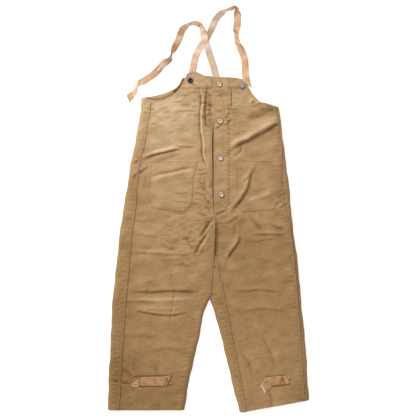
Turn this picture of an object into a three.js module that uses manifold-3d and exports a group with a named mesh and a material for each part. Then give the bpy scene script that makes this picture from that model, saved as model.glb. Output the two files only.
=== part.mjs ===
// Bib overall trousers in corded cotton with crossed webbing straps, laid flat on their back.
// Millimetres, +Z up, the bib towards +Y and the wearer's right on -X. Z 0 is the surface that they lie on.
import * as THREE from "three";
import { mergeVertices } from "three/addons/utils/BufferGeometryUtils.js";
import Module from "manifold-3d";

const wasm = await Module();
wasm.setup();

// Layers, from the floor up
const GAP = 0.3;
const SHELL = 2;
const HOLLOW = 16;
const BACK = [0, SHELL];
const FRONT = [BACK[1] + HOLLOW, BACK[1] + HOLLOW + SHELL];
const ON_FRONT = FRONT[1] + GAP;
const SEAM = [BACK[1] + GAP, FRONT[0] - GAP];
const BAND = [ON_FRONT, ON_FRONT + 1.5];
const PLACKET = [ON_FRONT, ON_FRONT + SHELL];
const UNDERLAP = [FRONT[0] - GAP - 2.5, FRONT[0] - GAP];
const POCKET = [ON_FRONT, ON_FRONT + 7];

// Webbing straps, and the wider webbing of the tabs
const WEB_WIDTH = 27.5;
const TAB_WIDTH = 33;
const WEB = 2;
const STRAP_BASE_Z = BACK[1] + GAP;
const FACING = [STRAP_BASE_Z + WEB + GAP, STRAP_BASE_Z + WEB + GAP + 1.5];

// Places along the body
const CENTRE_X = 19;
const KNEE_Y = -414;
const FORK_Y = -334.4;
const CROTCH_Y = -30;
const BACK_TOP_Y = 500;
const BAND_FOOT_Y = 458;
const SEAM_WIDTH = 8;
const CENTRE_GAP = 0.5;
const HEM_DEPTH = 25;
const HEM_TAPER = 7;
const POCKET_SIDE = 5;
const POCKET_SHEET = 1.5;

// Tack buttons and studs
const CAP_R = 8.5;
const CAP_HEIGHT = 3.8;
const HUB_R = 3.2;
const HUB_RISE = 0.8;
const PIN_R = 1.6;
const TACK_HEAD_R = 5.5;
const STUD_R = 5;
const PIN_HOLE = [2 * (PIN_R + GAP), 2 * (PIN_R + GAP)];
const BUTTONHOLE = [20, 2 * (HUB_R + 0.4)];
const FLY_BUTTONS = [
  [41, 472.7],
  [44.5, 332.9],
  [45.2, 191.9],
  [48.6, 54],
];
const STRAP_BUTTONS = { right: [-69.2, 487.2], left: [126.2, 468.2] };
const LEG_STUDS = {
  right: { inner: [-141.4, -662.3], outer: [-260, -684] },
  left: { inner: [305.5, -641], outer: [185.1, -660.8] },
};

// Ankle tabs are sewn to the front of each shin at the point sewn, and both reach towards -X from it.
const TABS = {
  right: { sewn: [-150, -654], length: 130, angle: 0 },
  left: { sewn: [288, -649], length: 78, angle: Math.PI / 40 },
};

const cloth = new THREE.MeshStandardMaterial({ color: 0xb08d60, roughness: 0.9, metalness: 0 });
const insideCloth = new THREE.MeshStandardMaterial({ color: 0x8f7450, roughness: 1, metalness: 0 });
const webbing = new THREE.MeshStandardMaterial({ color: 0xdbb288, roughness: 0.85, metalness: 0 });
const copper = new THREE.MeshStandardMaterial({ color: 0xd9b8a6, roughness: 0.35, metalness: 1 });
const steel = new THREE.MeshStandardMaterial({ color: 0x767d88, roughness: 0.4, metalness: 1 });

const garment = new THREE.Group();

// Outlines of the two sides. Each outseam and inseam climbs from the hem, and each armhole climbs to the bib.
const right = {
  sign: 1,
  outseam: [
    [-381.9, -763.8],
    [-374.3, -558.6],
    [-362.9, -345.8],
    [-347.7, -193.8],
    [-328.7, -41.8],
    [-309.7, 79.8],
    [-294.5, 171],
    [-275.5, 262.2],
    [-252.7, 421.8],
  ],
  inseam: [
    [-93.1, -763.8],
    [-70.3, -634.6],
    [-39.9, -497.8],
    [-20.9, -406.6],
    [-1.9, -345.8],
  ],
  armhole: [
    [-234, 418],
    [-212, 411.5],
    [-181, 413.5],
    [-147, 426.5],
    [-108, 458.5],
    [-81.7, 513],
  ],
  backArmhole: [
    [-228, 427],
    [-191, 434.5],
    [-147, 449.5],
    [-118, 466],
    [-99, BACK_TOP_Y],
  ],
  top: [
    [-70, 520.6],
    [-47.5, 520.6],
    [-15, 507],
    [CENTRE_X, 501.6],
  ],
};
const left = {
  sign: -1,
  outseam: [
    [381.9, -725.8],
    [366.7, -513],
    [351.5, -345.8],
    [336.3, -193.8],
    [317.3, -41.8],
    [305.9, 72.2],
    [294.5, 171],
    [283.1, 262.2],
    [267.9, 353.4],
    [264.1, 387.6],
  ],
  inseam: [
    [119.7, -773.3],
    [81.7, -619.4],
    [51.3, -497.8],
    [28.5, -406.6],
    [9.5, -345.8],
  ],
  armhole: [
    [226.1, 399],
    [195.7, 408.5],
    [180.5, 421.8],
    [161.5, 444.6],
    [150.1, 467.4],
    [146.3, 490.2],
  ],
  backArmhole: [
    [226, 398],
    [195, 407],
    [179, 421],
    [160, 444],
    [143, 488],
  ],
  top: [
    [100.7, 497.8],
    [60, 500.5],
    [CENTRE_X, 501.6],
  ],
};

// From where the legs part, up the crotch seam to the foot of the fly
const CROTCH_SEAM = [
  [4.6, FORK_Y],
  [5.7, -269.8],
  [13.3, -155.8],
  [CENTRE_X, CROTCH_Y],
];

function add(name, geometry, material) {
  const mesh = new THREE.Mesh(geometry, material);
  mesh.name = name;
  garment.add(mesh);
  return mesh;
}

const shapeOf = (points) => new THREE.Shape(points.map(([x, y]) => new THREE.Vector2(x, y)));
const shifted = (points, dx) => points.map(([x, y]) => [x + dx, y]);

// A slot with round ends, or a round hole where its length is its width
function slot([x, y], [length, width]) {
  const hole = new THREE.Path();
  const r = width / 2;
  const run = (length - width) / 2;
  hole.absarc(x + run, y, r, -Math.PI / 2, Math.PI / 2, false);
  hole.absarc(x - run, y, r, Math.PI / 2, 1.5 * Math.PI, false);
  return hole;
}

function slab(outline, [low, high], holes = []) {
  const shape = shapeOf(outline);
  shape.holes.push(...holes);
  const settings = { depth: high - low, bevelEnabled: false, curveSegments: 6 };
  return new THREE.ExtrudeGeometry(shape, settings).translate(0, 0, low);
}

// The part of a climbing run of points that lies above or below the knee
function cutAtKnee(points, above) {
  const edge = KNEE_Y + (above ? GAP / 2 : -GAP / 2);
  const kept = [];
  points.forEach(([x, y], i) => {
    if (above ? y > edge : y < edge) kept.push([x, y]);
    const next = points[i + 1];
    if (!next || (y - edge) * (next[1] - edge) >= 0) return;
    const t = (edge - y) / (next[1] - y);
    kept.push([x + t * (next[0] - x), edge]);
  });
  return kept;
}

// A run of points without its foot, up to a height above that foot
function fromHeight(run, height) {
  const [foot, next, ...rest] = run;
  const t = height / (next[1] - foot[1]);
  return [[foot[0] + t * (next[0] - foot[0]), foot[1] + height], next, ...rest];
}

// Moves every edge of an outline inwards by a distance, and joins the moved edges again where they meet.
function inset(points, distance) {
  const turn = THREE.ShapeUtils.isClockWise(points.map(([x, y]) => ({ x, y }))) ? -1 : 1;
  const edges = points.map(([x, y], i) => {
    const [nextX, nextY] = points[(i + 1) % points.length];
    const along = new THREE.Vector2(nextX - x, nextY - y).normalize();
    const inwards = new THREE.Vector2(-along.y, along.x).multiplyScalar(turn * distance);
    return { start: inwards.add(new THREE.Vector2(x, y)), along };
  });
  return edges.map(({ start, along }, i) => {
    const before = edges.at(i - 1);
    const t = start.clone().sub(before.start).cross(along) / before.along.cross(along);
    return [before.start.x + t * before.along.x, before.start.y + t * before.along.y];
  });
}

// Flat webbing along points on the middle of its underside, always level across its width
function ribbon(name, points, steps, width = WEB_WIDTH) {
  const path = points.map(([x, y, z]) => new THREE.Vector3(x, y, z));
  const line = new THREE.CatmullRomCurve3(path, false, "centripetal").getPoints(steps);
  const position = [];
  const index = [];
  const corners = [
    [1, 0],
    [-1, 0],
    [-1, WEB],
    [1, WEB],
  ];
  line.forEach((p, i) => {
    const ahead = line[Math.min(i + 1, steps)].clone().sub(line[Math.max(i - 1, 0)]);
    const side = new THREE.Vector3(ahead.y, -ahead.x, 0).setLength(width / 2);
    for (const [across, up] of corners) {
      position.push(p.x + across * side.x, p.y + across * side.y, p.z + up);
    }
    if (i === steps) return;
    for (let k = 0; k < 4; k++) {
      const a = 4 * i + k;
      const b = 4 * i + ((k + 1) % 4);
      index.push(a, b, b + 4, a, b + 4, a + 4);
    }
  });
  const end = 4 * steps;
  index.push(0, 2, 1, 0, 3, 2, end, end + 1, end + 2, end, end + 2, end + 3);
  const geometry = new THREE.BufferGeometry();
  geometry.setAttribute("position", new THREE.Float32BufferAttribute(position, 3));
  geometry.setIndex(index);
  return add(name, geometry, webbing);
}

function turned(name, profile, [x, y], material) {
  const lathe = new THREE.LatheGeometry(profile.map(([r, z]) => new THREE.Vector2(r, z)), 20);
  return add(name, lathe.rotateX(Math.PI / 2).translate(x, y, 0), material);
}

function solid(geometry) {
  const bare = new THREE.BufferGeometry();
  bare.setAttribute("position", geometry.attributes.position);
  if (geometry.index) bare.setIndex(geometry.index);
  const merged = mergeVertices(bare, 1e-3);
  const vertProperties = new Float32Array(merged.attributes.position.array);
  const triVerts = new Uint32Array(merged.index.array);
  return new wasm.Manifold(new wasm.Mesh({ numProp: 3, vertProperties, triVerts }));
}

function geometryOf(body) {
  const mesh = body.getMesh();
  const geometry = new THREE.BufferGeometry();
  geometry.setAttribute("position", new THREE.Float32BufferAttribute(mesh.vertProperties, 3));
  geometry.setIndex([...mesh.triVerts]);
  return geometry;
}

// Panels of one side, each in a part above the knee and a part below it
function buildPanels(name, side, frontHoles, shinHoles) {
  const { sign, outseam, inseam, armhole, backArmhole, top } = side;
  const innerRun = [...inseam, ...shifted(CROTCH_SEAM, -CENTRE_GAP * sign)];
  for (const above of [true, false]) {
    const suffix = above ? "" : "_lower";
    const outer = cutAtKnee(outseam, above);
    const down = cutAtKnee(innerRun, above).toReversed();
    const frontTop = above ? [...armhole, ...shifted(top, -CENTRE_GAP * sign)] : [];
    const backTop = above ? [...backArmhole, [CENTRE_X - CENTRE_GAP * sign, BACK_TOP_Y]] : [];
    const front = slab([...outer, ...frontTop, ...down], FRONT, above ? frontHoles : shinHoles);
    add(`front_panel_${name}${suffix}`, front, cloth);
    add(`back_panel_${name}${suffix}`, slab([...outer, ...backTop, ...down], BACK), cloth);
  }
}

// Felled seams close the sides between front and back, and stop above the hem.
function buildSeams(name, { sign, outseam, inseam }) {
  const runs = [
    ["side_seam", outseam, SEAM_WIDTH * sign],
    ["inseam", inseam, -SEAM_WIDTH * sign],
  ];
  for (const [seam, run, width] of runs) {
    for (const above of [true, false]) {
      const part = cutAtKnee(run, above);
      const edge = above ? part : fromHeight(part, HEM_DEPTH + 2);
      const strip = [...edge, ...shifted(edge, width).toReversed()];
      add(`${seam}_${name}${above ? "" : "_lower"}`, slab(strip, SEAM), cloth);
    }
  }
}

// The hem is turned up inside, as a flat ring around the leg's mouth.
function buildHem(name, { sign, outseam, inseam }) {
  const [outer, inner] = [outseam[0], inseam[0]];
  const along = new THREE.Vector2(inner[0] - outer[0], inner[1] - outer[1]).multiplyScalar(sign);
  const width = along.length() - 2 * HEM_TAPER;
  const height = SEAM[1] - SEAM[0];
  const box = (w, h) => [
    [-w / 2, -h / 2],
    [w / 2, -h / 2],
    [w / 2, h / 2],
    [-w / 2, h / 2],
  ];
  const ring = shapeOf(box(width, height));
  ring.holes.push(shapeOf(box(width - 2 * SEAM_WIDTH, height - 2 * SHELL)));
  const geometry = new THREE.ExtrudeGeometry(ring, { depth: HEM_DEPTH - 1, bevelEnabled: false });
  const hem = add(`hem_${name}`, geometry.rotateX(Math.PI / 2), cloth);
  const middle = new THREE.Vector2((outer[0] + inner[0]) / 2, (outer[1] + inner[1]) / 2);
  const rise = new THREE.Vector2(-along.y, along.x).setLength(HEM_DEPTH);
  middle.add(rise);
  hem.position.set(middle.x, middle.y, (SEAM[0] + SEAM[1]) / 2);
  hem.rotation.z = along.angle();
}

// The left front laps over an underlap sewn to the right front, under an outer placket.
function buildFly() {
  const placket = [
    [20, 501],
    [78, 498],
    [78, 22],
    [64, -6],
    [20, -29],
  ];
  const slots = FLY_BUTTONS.map((at) => slot(at, BUTTONHOLE));
  add("fly_placket", slab(placket, PLACKET, slots), cloth);
  const underlap = [
    [-22, 492],
    [70, 490],
    [70, 4],
    [-22, -20],
  ];
  const pinHoles = FLY_BUTTONS.map((at) => slot(at, PIN_HOLE));
  add("fly_underlap", slab(underlap, UNDERLAP, pinHoles), insideCloth);
}

// Stitched bands along the bib's top edge outside, and a facing along the back's inside
function buildBands() {
  const rightBand = [
    [-106, BAND_FOOT_Y],
    [17, BAND_FOOT_Y],
    [17, 500.5],
    [-15, 506],
    [-47.5, 519],
    [-70, 519],
    [-80, 512],
  ];
  add("bib_band_right", slab(rightBand, BAND, [slot(STRAP_BUTTONS.right, PIN_HOLE)]), cloth);
  const leftBand = [
    [79, BAND_FOOT_Y],
    [152, BAND_FOOT_Y],
    [148.5, 468],
    [145, 489],
    [101, 496.5],
    [79, 498],
  ];
  add("bib_band_left", slab(leftBand, BAND, [slot(STRAP_BUTTONS.left, PIN_HOLE)]), cloth);
  const facing = [
    [-140, 448],
    [154, 448],
    [142, 486],
    [CENTRE_X, 498],
    [-97, 498],
    [-118, 465],
  ];
  add("back_facing", slab(facing, FACING), insideCloth);
}

// A patch pocket stands off the front on its turned-in sides and foot, and is open at its mouth.
// The first two points of the outline are the mouth's ends.
function buildPocket(name, outline) {
  const hollow = inset(outline, POCKET_SIDE);
  const mouthRise = 20;
  hollow[0][1] = outline[0][1] + mouthRise;
  hollow[1][1] = outline[1][1] + mouthRise;
  const tray = solid(slab(outline, POCKET));
  const room = solid(slab(hollow, [POCKET[0] - 1, POCKET[1] - POCKET_SHEET]));
  add(name, geometryOf(tray.subtract(room)), cloth);
}

// A tack button: its cap turns on the pin of a tack, which is driven through the cloth from inside.
function buildButton(name, at, under, hubFoot, seat, material) {
  const roof = seat + CAP_HEIGHT;
  const boreTop = seat + 0.8;
  const bore = PIN_R + GAP;
  const cap = [
    [0, boreTop],
    [bore, boreTop],
    [bore, hubFoot],
    [HUB_R, hubFoot],
    [HUB_R, seat],
    [CAP_R - 1, seat],
    [CAP_R, seat + 1.2],
    [CAP_R, seat + 2.4],
    [CAP_R - 1.6, roof],
    [CAP_R - 3.6, roof],
    [CAP_R - 5, roof - 1.6],
    [0, roof - 1.6],
  ];
  turned(`${name}_cap`, cap, at, material);
  const headTop = under - GAP;
  const tack = [
    [0, headTop - 1.2],
    [TACK_HEAD_R - 1, headTop - 1.2],
    [TACK_HEAD_R, headTop - 0.6],
    [TACK_HEAD_R, headTop],
    [PIN_R, headTop],
    [PIN_R, boreTop - GAP],
    [0, boreTop - GAP],
  ];
  turned(`${name}_tack`, tack, at, steel);
}

// A small stud riveted through the front of a shin
function buildStud(name, at) {
  const foot = FRONT[0] - GAP;
  const profile = [
    [0, foot - 1],
    [STUD_R, foot - 1],
    [STUD_R, foot],
    [PIN_R, foot],
    [PIN_R, ON_FRONT],
    [STUD_R, ON_FRONT],
    [STUD_R, ON_FRONT + 1],
    [STUD_R - 2, ON_FRONT + 2.2],
    [0, ON_FRONT + 2.2],
  ];
  turned(name, profile, at, steel);
}

// The straps are sewn between the back panel and its facing, cross, and bend over at the shoulder.
function buildStraps() {
  const over = WEB + 2 * GAP;
  const onButton = BAND[1] + GAP + HUB_RISE + CAP_HEIGHT + GAP;
  const rearRight = [
    [40, 456, STRAP_BASE_Z],
    [31, 503, STRAP_BASE_Z],
    [17, 547, over],
    [-1, 604, over],
    [-15, 642, over],
    [-23, 676, over],
    [-36, 698, 1.6],
    [-60, 707, 0.3],
    [-82, 702, 0],
    [-97, 688.5, 0],
  ];
  const frontRight = [
    [-98.8, 686.9, 0],
    [-108, 677, 0],
    [-120, 652, 0],
    [-138, 606, 0],
    [-160, 565, 0],
    [-186, 537, 0],
    [-246, 488, 0],
    [-274, 463, 0],
    [-289, 440, 0],
    [-310, 418, 0],
  ];
  const rearLeft = [
    [-67, 456, STRAP_BASE_Z],
    [-62, 503, STRAP_BASE_Z],
    [-57, 545, 0.4],
    [-42, 600, 0],
    [-13, 642, 0],
    [5, 680, 0],
    [22, 716, 0],
    [45, 743, 0],
    [82, 760.5, 0],
  ];
  const frontLeft = [
    [106.4, 772, 0],
    [106, 718, 0],
    [106, 684, 0.2],
    [113, 640, 0.6],
    [127, 593, 3.5],
    [135, 547, 15],
    [137, 512, onButton - 1],
    [139, 492, onButton],
    [146.3, 452, onButton],
  ];
  ribbon("strap_rear_right", rearRight, 24);
  ribbon("strap_front_right", frontRight, 24);
  ribbon("strap_rear_left", rearLeft, 24);
  ribbon("strap_front_left", frontLeft, 26);
}

function buildTab(name, { sewn, length, angle }) {
  const end = [sewn[0] - length * Math.cos(angle), sewn[1] - length * Math.sin(angle)];
  const path = [
    [...sewn, ON_FRONT],
    [...end, ON_FRONT],
  ];
  ribbon(name, path, 2, TAB_WIDTH);
}

const studHoles = ({ inner, outer }) => [slot(inner, PIN_HOLE), slot(outer, PIN_HOLE)];
const slots = FLY_BUTTONS.map((at) => slot(at, BUTTONHOLE));
buildPanels("right", right, [slot(STRAP_BUTTONS.right, PIN_HOLE)], studHoles(LEG_STUDS.right));
buildPanels("left", left, [slot(STRAP_BUTTONS.left, PIN_HOLE), ...slots], studHoles(LEG_STUDS.left));
for (const [name, side] of Object.entries({ right, left })) {
  buildSeams(name, side);
  buildHem(name, side);
  buildTab(`ankle_tab_${name}`, TABS[name]);
  buildStud(`leg_stud_inner_${name}`, LEG_STUDS[name].inner);
  buildStud(`leg_stud_outer_${name}`, LEG_STUDS[name].outer);
  const hubFoot = BAND[1] + GAP;
  const metal = name === "right" ? steel : copper;
  buildButton(`strap_button_${name}`, STRAP_BUTTONS[name], FRONT[0], hubFoot, hubFoot + HUB_RISE, metal);
}
buildFly();
buildBands();
FLY_BUTTONS.forEach((at, i) => {
  buildButton(`fly_button_${i + 1}`, at, UNDERLAP[0], UNDERLAP[1] + GAP, PLACKET[1] + GAP, copper);
});
buildPocket("pocket_right", [
  [-223.4, 182.4],
  [-39.1, 182.4],
  [-55, 125],
  [-62.7, 15],
  [-94.6, -12.9],
  [-216.6, 3],
  [-237.5, 39.9],
  [-229.9, 110.2],
]);
buildPocket("pocket_left", [
  [96.9, 182.4],
  [275.5, 171],
  [277.4, 58.9],
  [248.9, -3.8],
  [123.5, -13.3],
  [106, 8],
]);
buildStraps();

export default garment;
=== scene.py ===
import math

import bpy
import numpy as np
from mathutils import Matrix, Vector
from mathutils.geometry import delaunay_2d_cdt


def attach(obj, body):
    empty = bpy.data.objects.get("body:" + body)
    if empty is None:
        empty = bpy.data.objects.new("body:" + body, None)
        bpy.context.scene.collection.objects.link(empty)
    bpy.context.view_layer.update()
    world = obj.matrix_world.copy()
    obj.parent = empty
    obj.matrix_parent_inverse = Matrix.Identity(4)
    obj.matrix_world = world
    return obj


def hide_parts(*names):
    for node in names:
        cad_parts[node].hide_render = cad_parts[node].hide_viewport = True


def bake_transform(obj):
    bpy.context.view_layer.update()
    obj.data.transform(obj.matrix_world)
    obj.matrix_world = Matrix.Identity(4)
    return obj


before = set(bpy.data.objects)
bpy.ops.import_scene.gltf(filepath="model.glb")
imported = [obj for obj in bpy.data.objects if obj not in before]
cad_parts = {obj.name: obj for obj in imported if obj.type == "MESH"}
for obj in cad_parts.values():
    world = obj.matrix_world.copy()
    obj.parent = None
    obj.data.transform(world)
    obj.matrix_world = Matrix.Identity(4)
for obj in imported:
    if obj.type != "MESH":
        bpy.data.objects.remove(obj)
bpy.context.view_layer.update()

# Bib-front overall trousers of corded cotton, laid flat with the front up and the bib towards +Y.
# Lengths here are in mm and become metres when a mesh is made. The surface they lie on is z 0.
mm = 0.001


def linear(hexColour):
    channels = [int(hexColour[i : i + 2], 16) / 255 for i in (1, 3, 5)]
    return [c / 12.92 if c <= 0.04045 else ((c + 0.055) / 1.055) ** 2.4 for c in channels] + [1.0]


def addNode(tree, kind, inputs=None, **settings):
    # one node with its settings; a value that is a socket is linked, any other is set
    node = tree.nodes.new(kind)
    for key, value in settings.items():
        setattr(node, key, value)
    for key, value in (inputs or {}).items():
        if isinstance(value, bpy.types.NodeSocket):
            tree.links.new(value, node.inputs[key])
        else:
            node.inputs[key].default_value = value
    return node


def smooth(t):
    t = np.clip(t, 0, 1)
    return t * t * (3 - 2 * t)


def bell(far, width):
    # 1 at no distance, and fading away beyond that width
    return np.exp(-((far / width) ** 2))


def curveThrough(points, step):
    # a smooth curve through the points, as a list of evenly spaced places
    p = np.array(points, float)
    p = np.vstack([2 * p[0] - p[1], p, 2 * p[-1] - p[-2]])
    out = []
    for i in range(1, len(p) - 2):
        a, b, c, d = p[i - 1 : i + 3]
        k = [0.0]
        for u, v in ((a, b), (b, c), (c, d)):
            k.append(k[-1] + max(np.linalg.norm(v - u), 1e-6) ** 0.5)
        for t in np.linspace(k[1], k[2], 24, endpoint=False):
            ab = a + (b - a) * (t - k[0]) / (k[1] - k[0])
            bc = b + (c - b) * (t - k[1]) / (k[2] - k[1])
            cd = c + (d - c) * (t - k[2]) / (k[3] - k[2])
            abc = ab + (bc - ab) * (t - k[0]) / (k[2] - k[0])
            bcd = bc + (cd - bc) * (t - k[1]) / (k[3] - k[1])
            out.append(abc + (bcd - abc) * (t - k[1]) / (k[2] - k[1]))
    out.append(p[-2])
    return evenly(np.array(out), step)


def runAt(points):
    # how far along the line each of its points is
    return np.concatenate([[0], np.cumsum(np.linalg.norm(np.diff(points, axis=0), axis=1))])


def evenly(points, step):
    points = np.array(points, float)
    run = runAt(points)
    count = max(int(round(run[-1] / step)), 1) + 1
    at = np.linspace(0, run[-1], count)
    return np.stack([np.interp(at, run, points[:, k]) for k in range(points.shape[1])], axis=1)


def along(x, y, line):
    # distance to a polyline, the side of it (left is above 0) and how far along it from 0 to 1
    line = np.array(line, float)[:, :2]
    best = np.full(x.shape, 1e9)
    side = np.zeros(x.shape)
    part = np.zeros(x.shape)
    lengths = np.linalg.norm(np.diff(line, axis=0), axis=1)
    whole = lengths.sum()
    start = 0.0
    for (ax, ay), (bx, by), length in zip(line[:-1], line[1:], lengths):
        ux, uy = (bx - ax) / length, (by - ay) / length
        t = np.clip((x - ax) * ux + (y - ay) * uy, 0, length)
        dx, dy = x - ax - t * ux, y - ay - t * uy
        far = np.hypot(dx, dy)
        near = far < best
        best = np.where(near, far, best)
        side = np.where(near, np.sign(ux * dy - uy * dx), side)
        part = np.where(near, (start + t) / whole, part)
        start += length
    return best, side, part


def waves(x, y, size, seed, stretch=1.0):
    # a smooth random field of about -1 to 1 whose hills are about that size across, in mm
    rng = np.random.default_rng(seed)
    total = np.zeros(x.shape)
    count = 18
    for _ in range(count):
        angle = rng.uniform(0, 2 * math.pi)
        k = 2 * math.pi / size * rng.uniform(0.55, 1.25)
        total += np.sin(k * (x * math.cos(angle) + y * math.sin(angle) / stretch) + rng.uniform(0, 6.28))
    return total / count**0.5


def inside(x, y, loop):
    hit = np.zeros(x.shape, bool)
    for (ax, ay), (bx, by) in zip(loop, np.roll(loop, -1, axis=0)):
        if ay == by:
            continue
        cross = (ay > y) != (by > y)
        hit ^= cross & (x < (bx - ax) * (y - ay) / (by - ay) + ax)
    return hit


def inward(loop):
    # a direction into the closed outline at each of its points
    x, y = loop.T
    turn = 1 if np.sum(x * np.roll(y, -1) - np.roll(x, -1) * y) > 0 else -1
    ahead = np.roll(loop, -1, 0) - np.roll(loop, 1, 0)
    return np.stack([-ahead[:, 1], ahead[:, 0]], 1) * turn / (np.linalg.norm(ahead, axis=1)[:, None] + 1e-9)


def cutSheet(loop, spacing, rings=(), slots=()):
    # triangles that fill a closed outline: its own points, rings of points set in from it, and a grid
    loop = np.array(loop, float)
    closed = np.vstack([loop, loop[:1]])
    low, high = loop.min(0), loop.max(0)
    xs = np.arange(low[0], high[0], spacing)
    ys = np.arange(low[1], high[1], spacing * 0.866)
    gx, gy = np.meshgrid(xs, ys)
    gx = gx + (np.arange(len(ys)) % 2 * spacing / 2)[:, None]
    gx, gy = gx.ravel(), gy.ravel()
    keep = inside(gx, gy, loop)
    gx, gy = gx[keep], gy[keep]
    room = along(gx, gy, closed)[0]
    margin = spacing * 0.55 + (max(rings) if len(rings) else 0)
    for slot in slots:
        room = np.minimum(room, along(gx, gy, np.vstack([slot, slot[:1]]))[0] + margin - spacing * 0.5)
    points = [np.stack([gx, gy], 1)[room > margin]]
    normal = inward(loop)
    for ring in rings:
        p = loop + normal * ring
        far = along(p[:, 0], p[:, 1], closed)[0]
        points.append(p[(far > ring * 0.93) & inside(p[:, 0], p[:, 1], loop)])
    count = len(loop)
    edges = [(i, (i + 1) % count) for i in range(count)]
    outline = [loop]
    for slot in slots:
        slot = np.array(slot, float)
        edges += [(count + i, count + (i + 1) % len(slot)) for i in range(len(slot))]
        outline.append(slot)
        count += len(slot)
    flat = np.vstack(outline + points)
    verts, _, faces, _, _, _ = delaunay_2d_cdt([tuple(p) for p in flat], edges, [], 1, 1e-5)
    verts = np.array([(v[0], v[1]) for v in verts])
    faces = np.array(faces)
    mid = verts[faces].mean(1)
    good = inside(mid[:, 0], mid[:, 1], loop)
    for slot in slots:
        good &= ~inside(mid[:, 0], mid[:, 1], np.array(slot, float))
    a, b, c = (verts[faces[:, k]] for k in range(3))
    area = (b[:, 0] - a[:, 0]) * (c[:, 1] - a[:, 1]) - (b[:, 1] - a[:, 1]) * (c[:, 0] - a[:, 0])
    good &= np.abs(area) > 1e-3
    faces = np.where((area < 0)[:, None], faces[:, ::-1], faces)[good]
    return verts, faces


def show(name, data):
    # an object with that mesh, light or camera, put into the scene
    piece = bpy.data.objects.new(name, data)
    bpy.context.scene.collection.objects.link(piece)
    return piece


def newMesh(name, verts, faces, material, uv=None, values=None):
    mesh = bpy.data.meshes.new(name)
    mesh.from_pydata([tuple(v) for v in np.array(verts) * mm], [], [tuple(int(i) for i in f) for f in faces])
    if uv is not None:
        layer = mesh.uv_layers.new(name="flat")
        order = np.zeros(len(mesh.loops), int)
        mesh.loops.foreach_get("vertex_index", order)
        layer.data.foreach_set("uv", (np.array(uv) * mm)[order].ravel().astype(np.float32))
    for key, value in (values or {}).items():
        attribute = mesh.attributes.new(key, "FLOAT", "POINT")
        attribute.data.foreach_set("value", np.array(value, np.float32))
    mesh.polygons.foreach_set("use_smooth", [True] * len(mesh.polygons))
    mesh.materials.append(material)
    mesh.update()
    return show(name, mesh)


def freeze(piece):
    # turns what the modifiers make into the piece's own plain mesh
    depsgraph = bpy.context.evaluated_depsgraph_get()
    depsgraph.update()
    mesh = bpy.data.meshes.new_from_object(piece.evaluated_get(depsgraph), depsgraph=depsgraph)
    piece.modifiers.clear()
    piece.data = mesh
    return piece


def thicken(piece, thickness, offset=-1.0):
    solid = piece.modifiers.new("thickness", "SOLIDIFY")
    solid.thickness = thickness * mm
    solid.offset = offset
    solid.use_even_offset = False
    return freeze(piece)


# Colours and finishes

cottonFinish = {
    "ribWidth": 2.6,  # coarser than the cords of such cloth, so that they show
    "innerRibWidth": 3.2,
    "streakWidth": 7.0,  # yarns that took the dye unevenly
    "streakLength": 90.0,
    "streak": 0.05,
    "mottle": 0.07,
    "grain": 0.08,
    "stain": "#5d432a",
}


def startMaterial(name):
    material = bpy.data.materials.new(name)
    material.use_nodes = True
    return material, material.node_tree, material.node_tree.nodes["Principled BSDF"]


def setStops(ramp, shades, low=0.0, high=1.0):
    # the shades as stops evenly apart on a colour ramp
    stops = ramp.color_ramp.elements
    while len(stops) < len(shades):
        stops.new(0.5)
    for i, shade in enumerate(shades):
        stops[i].position = low + (high - low) * i / (len(shades) - 1)
        stops[i].color = linear(shade)


def unevenTone(tree, tone, sources):
    # the tone with each source's departures from its middle value added
    for source, gain in sources:
        centred = addNode(tree, "ShaderNodeMath", {0: source.outputs["Fac"], 1: 0.5}, operation="SUBTRACT")
        tone = addNode(
            tree, "ShaderNodeMath", {0: centred.outputs[0], 1: gain * 2, 2: tone}, operation="MULTIPLY_ADD"
        ).outputs[0]
    return tone


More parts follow.
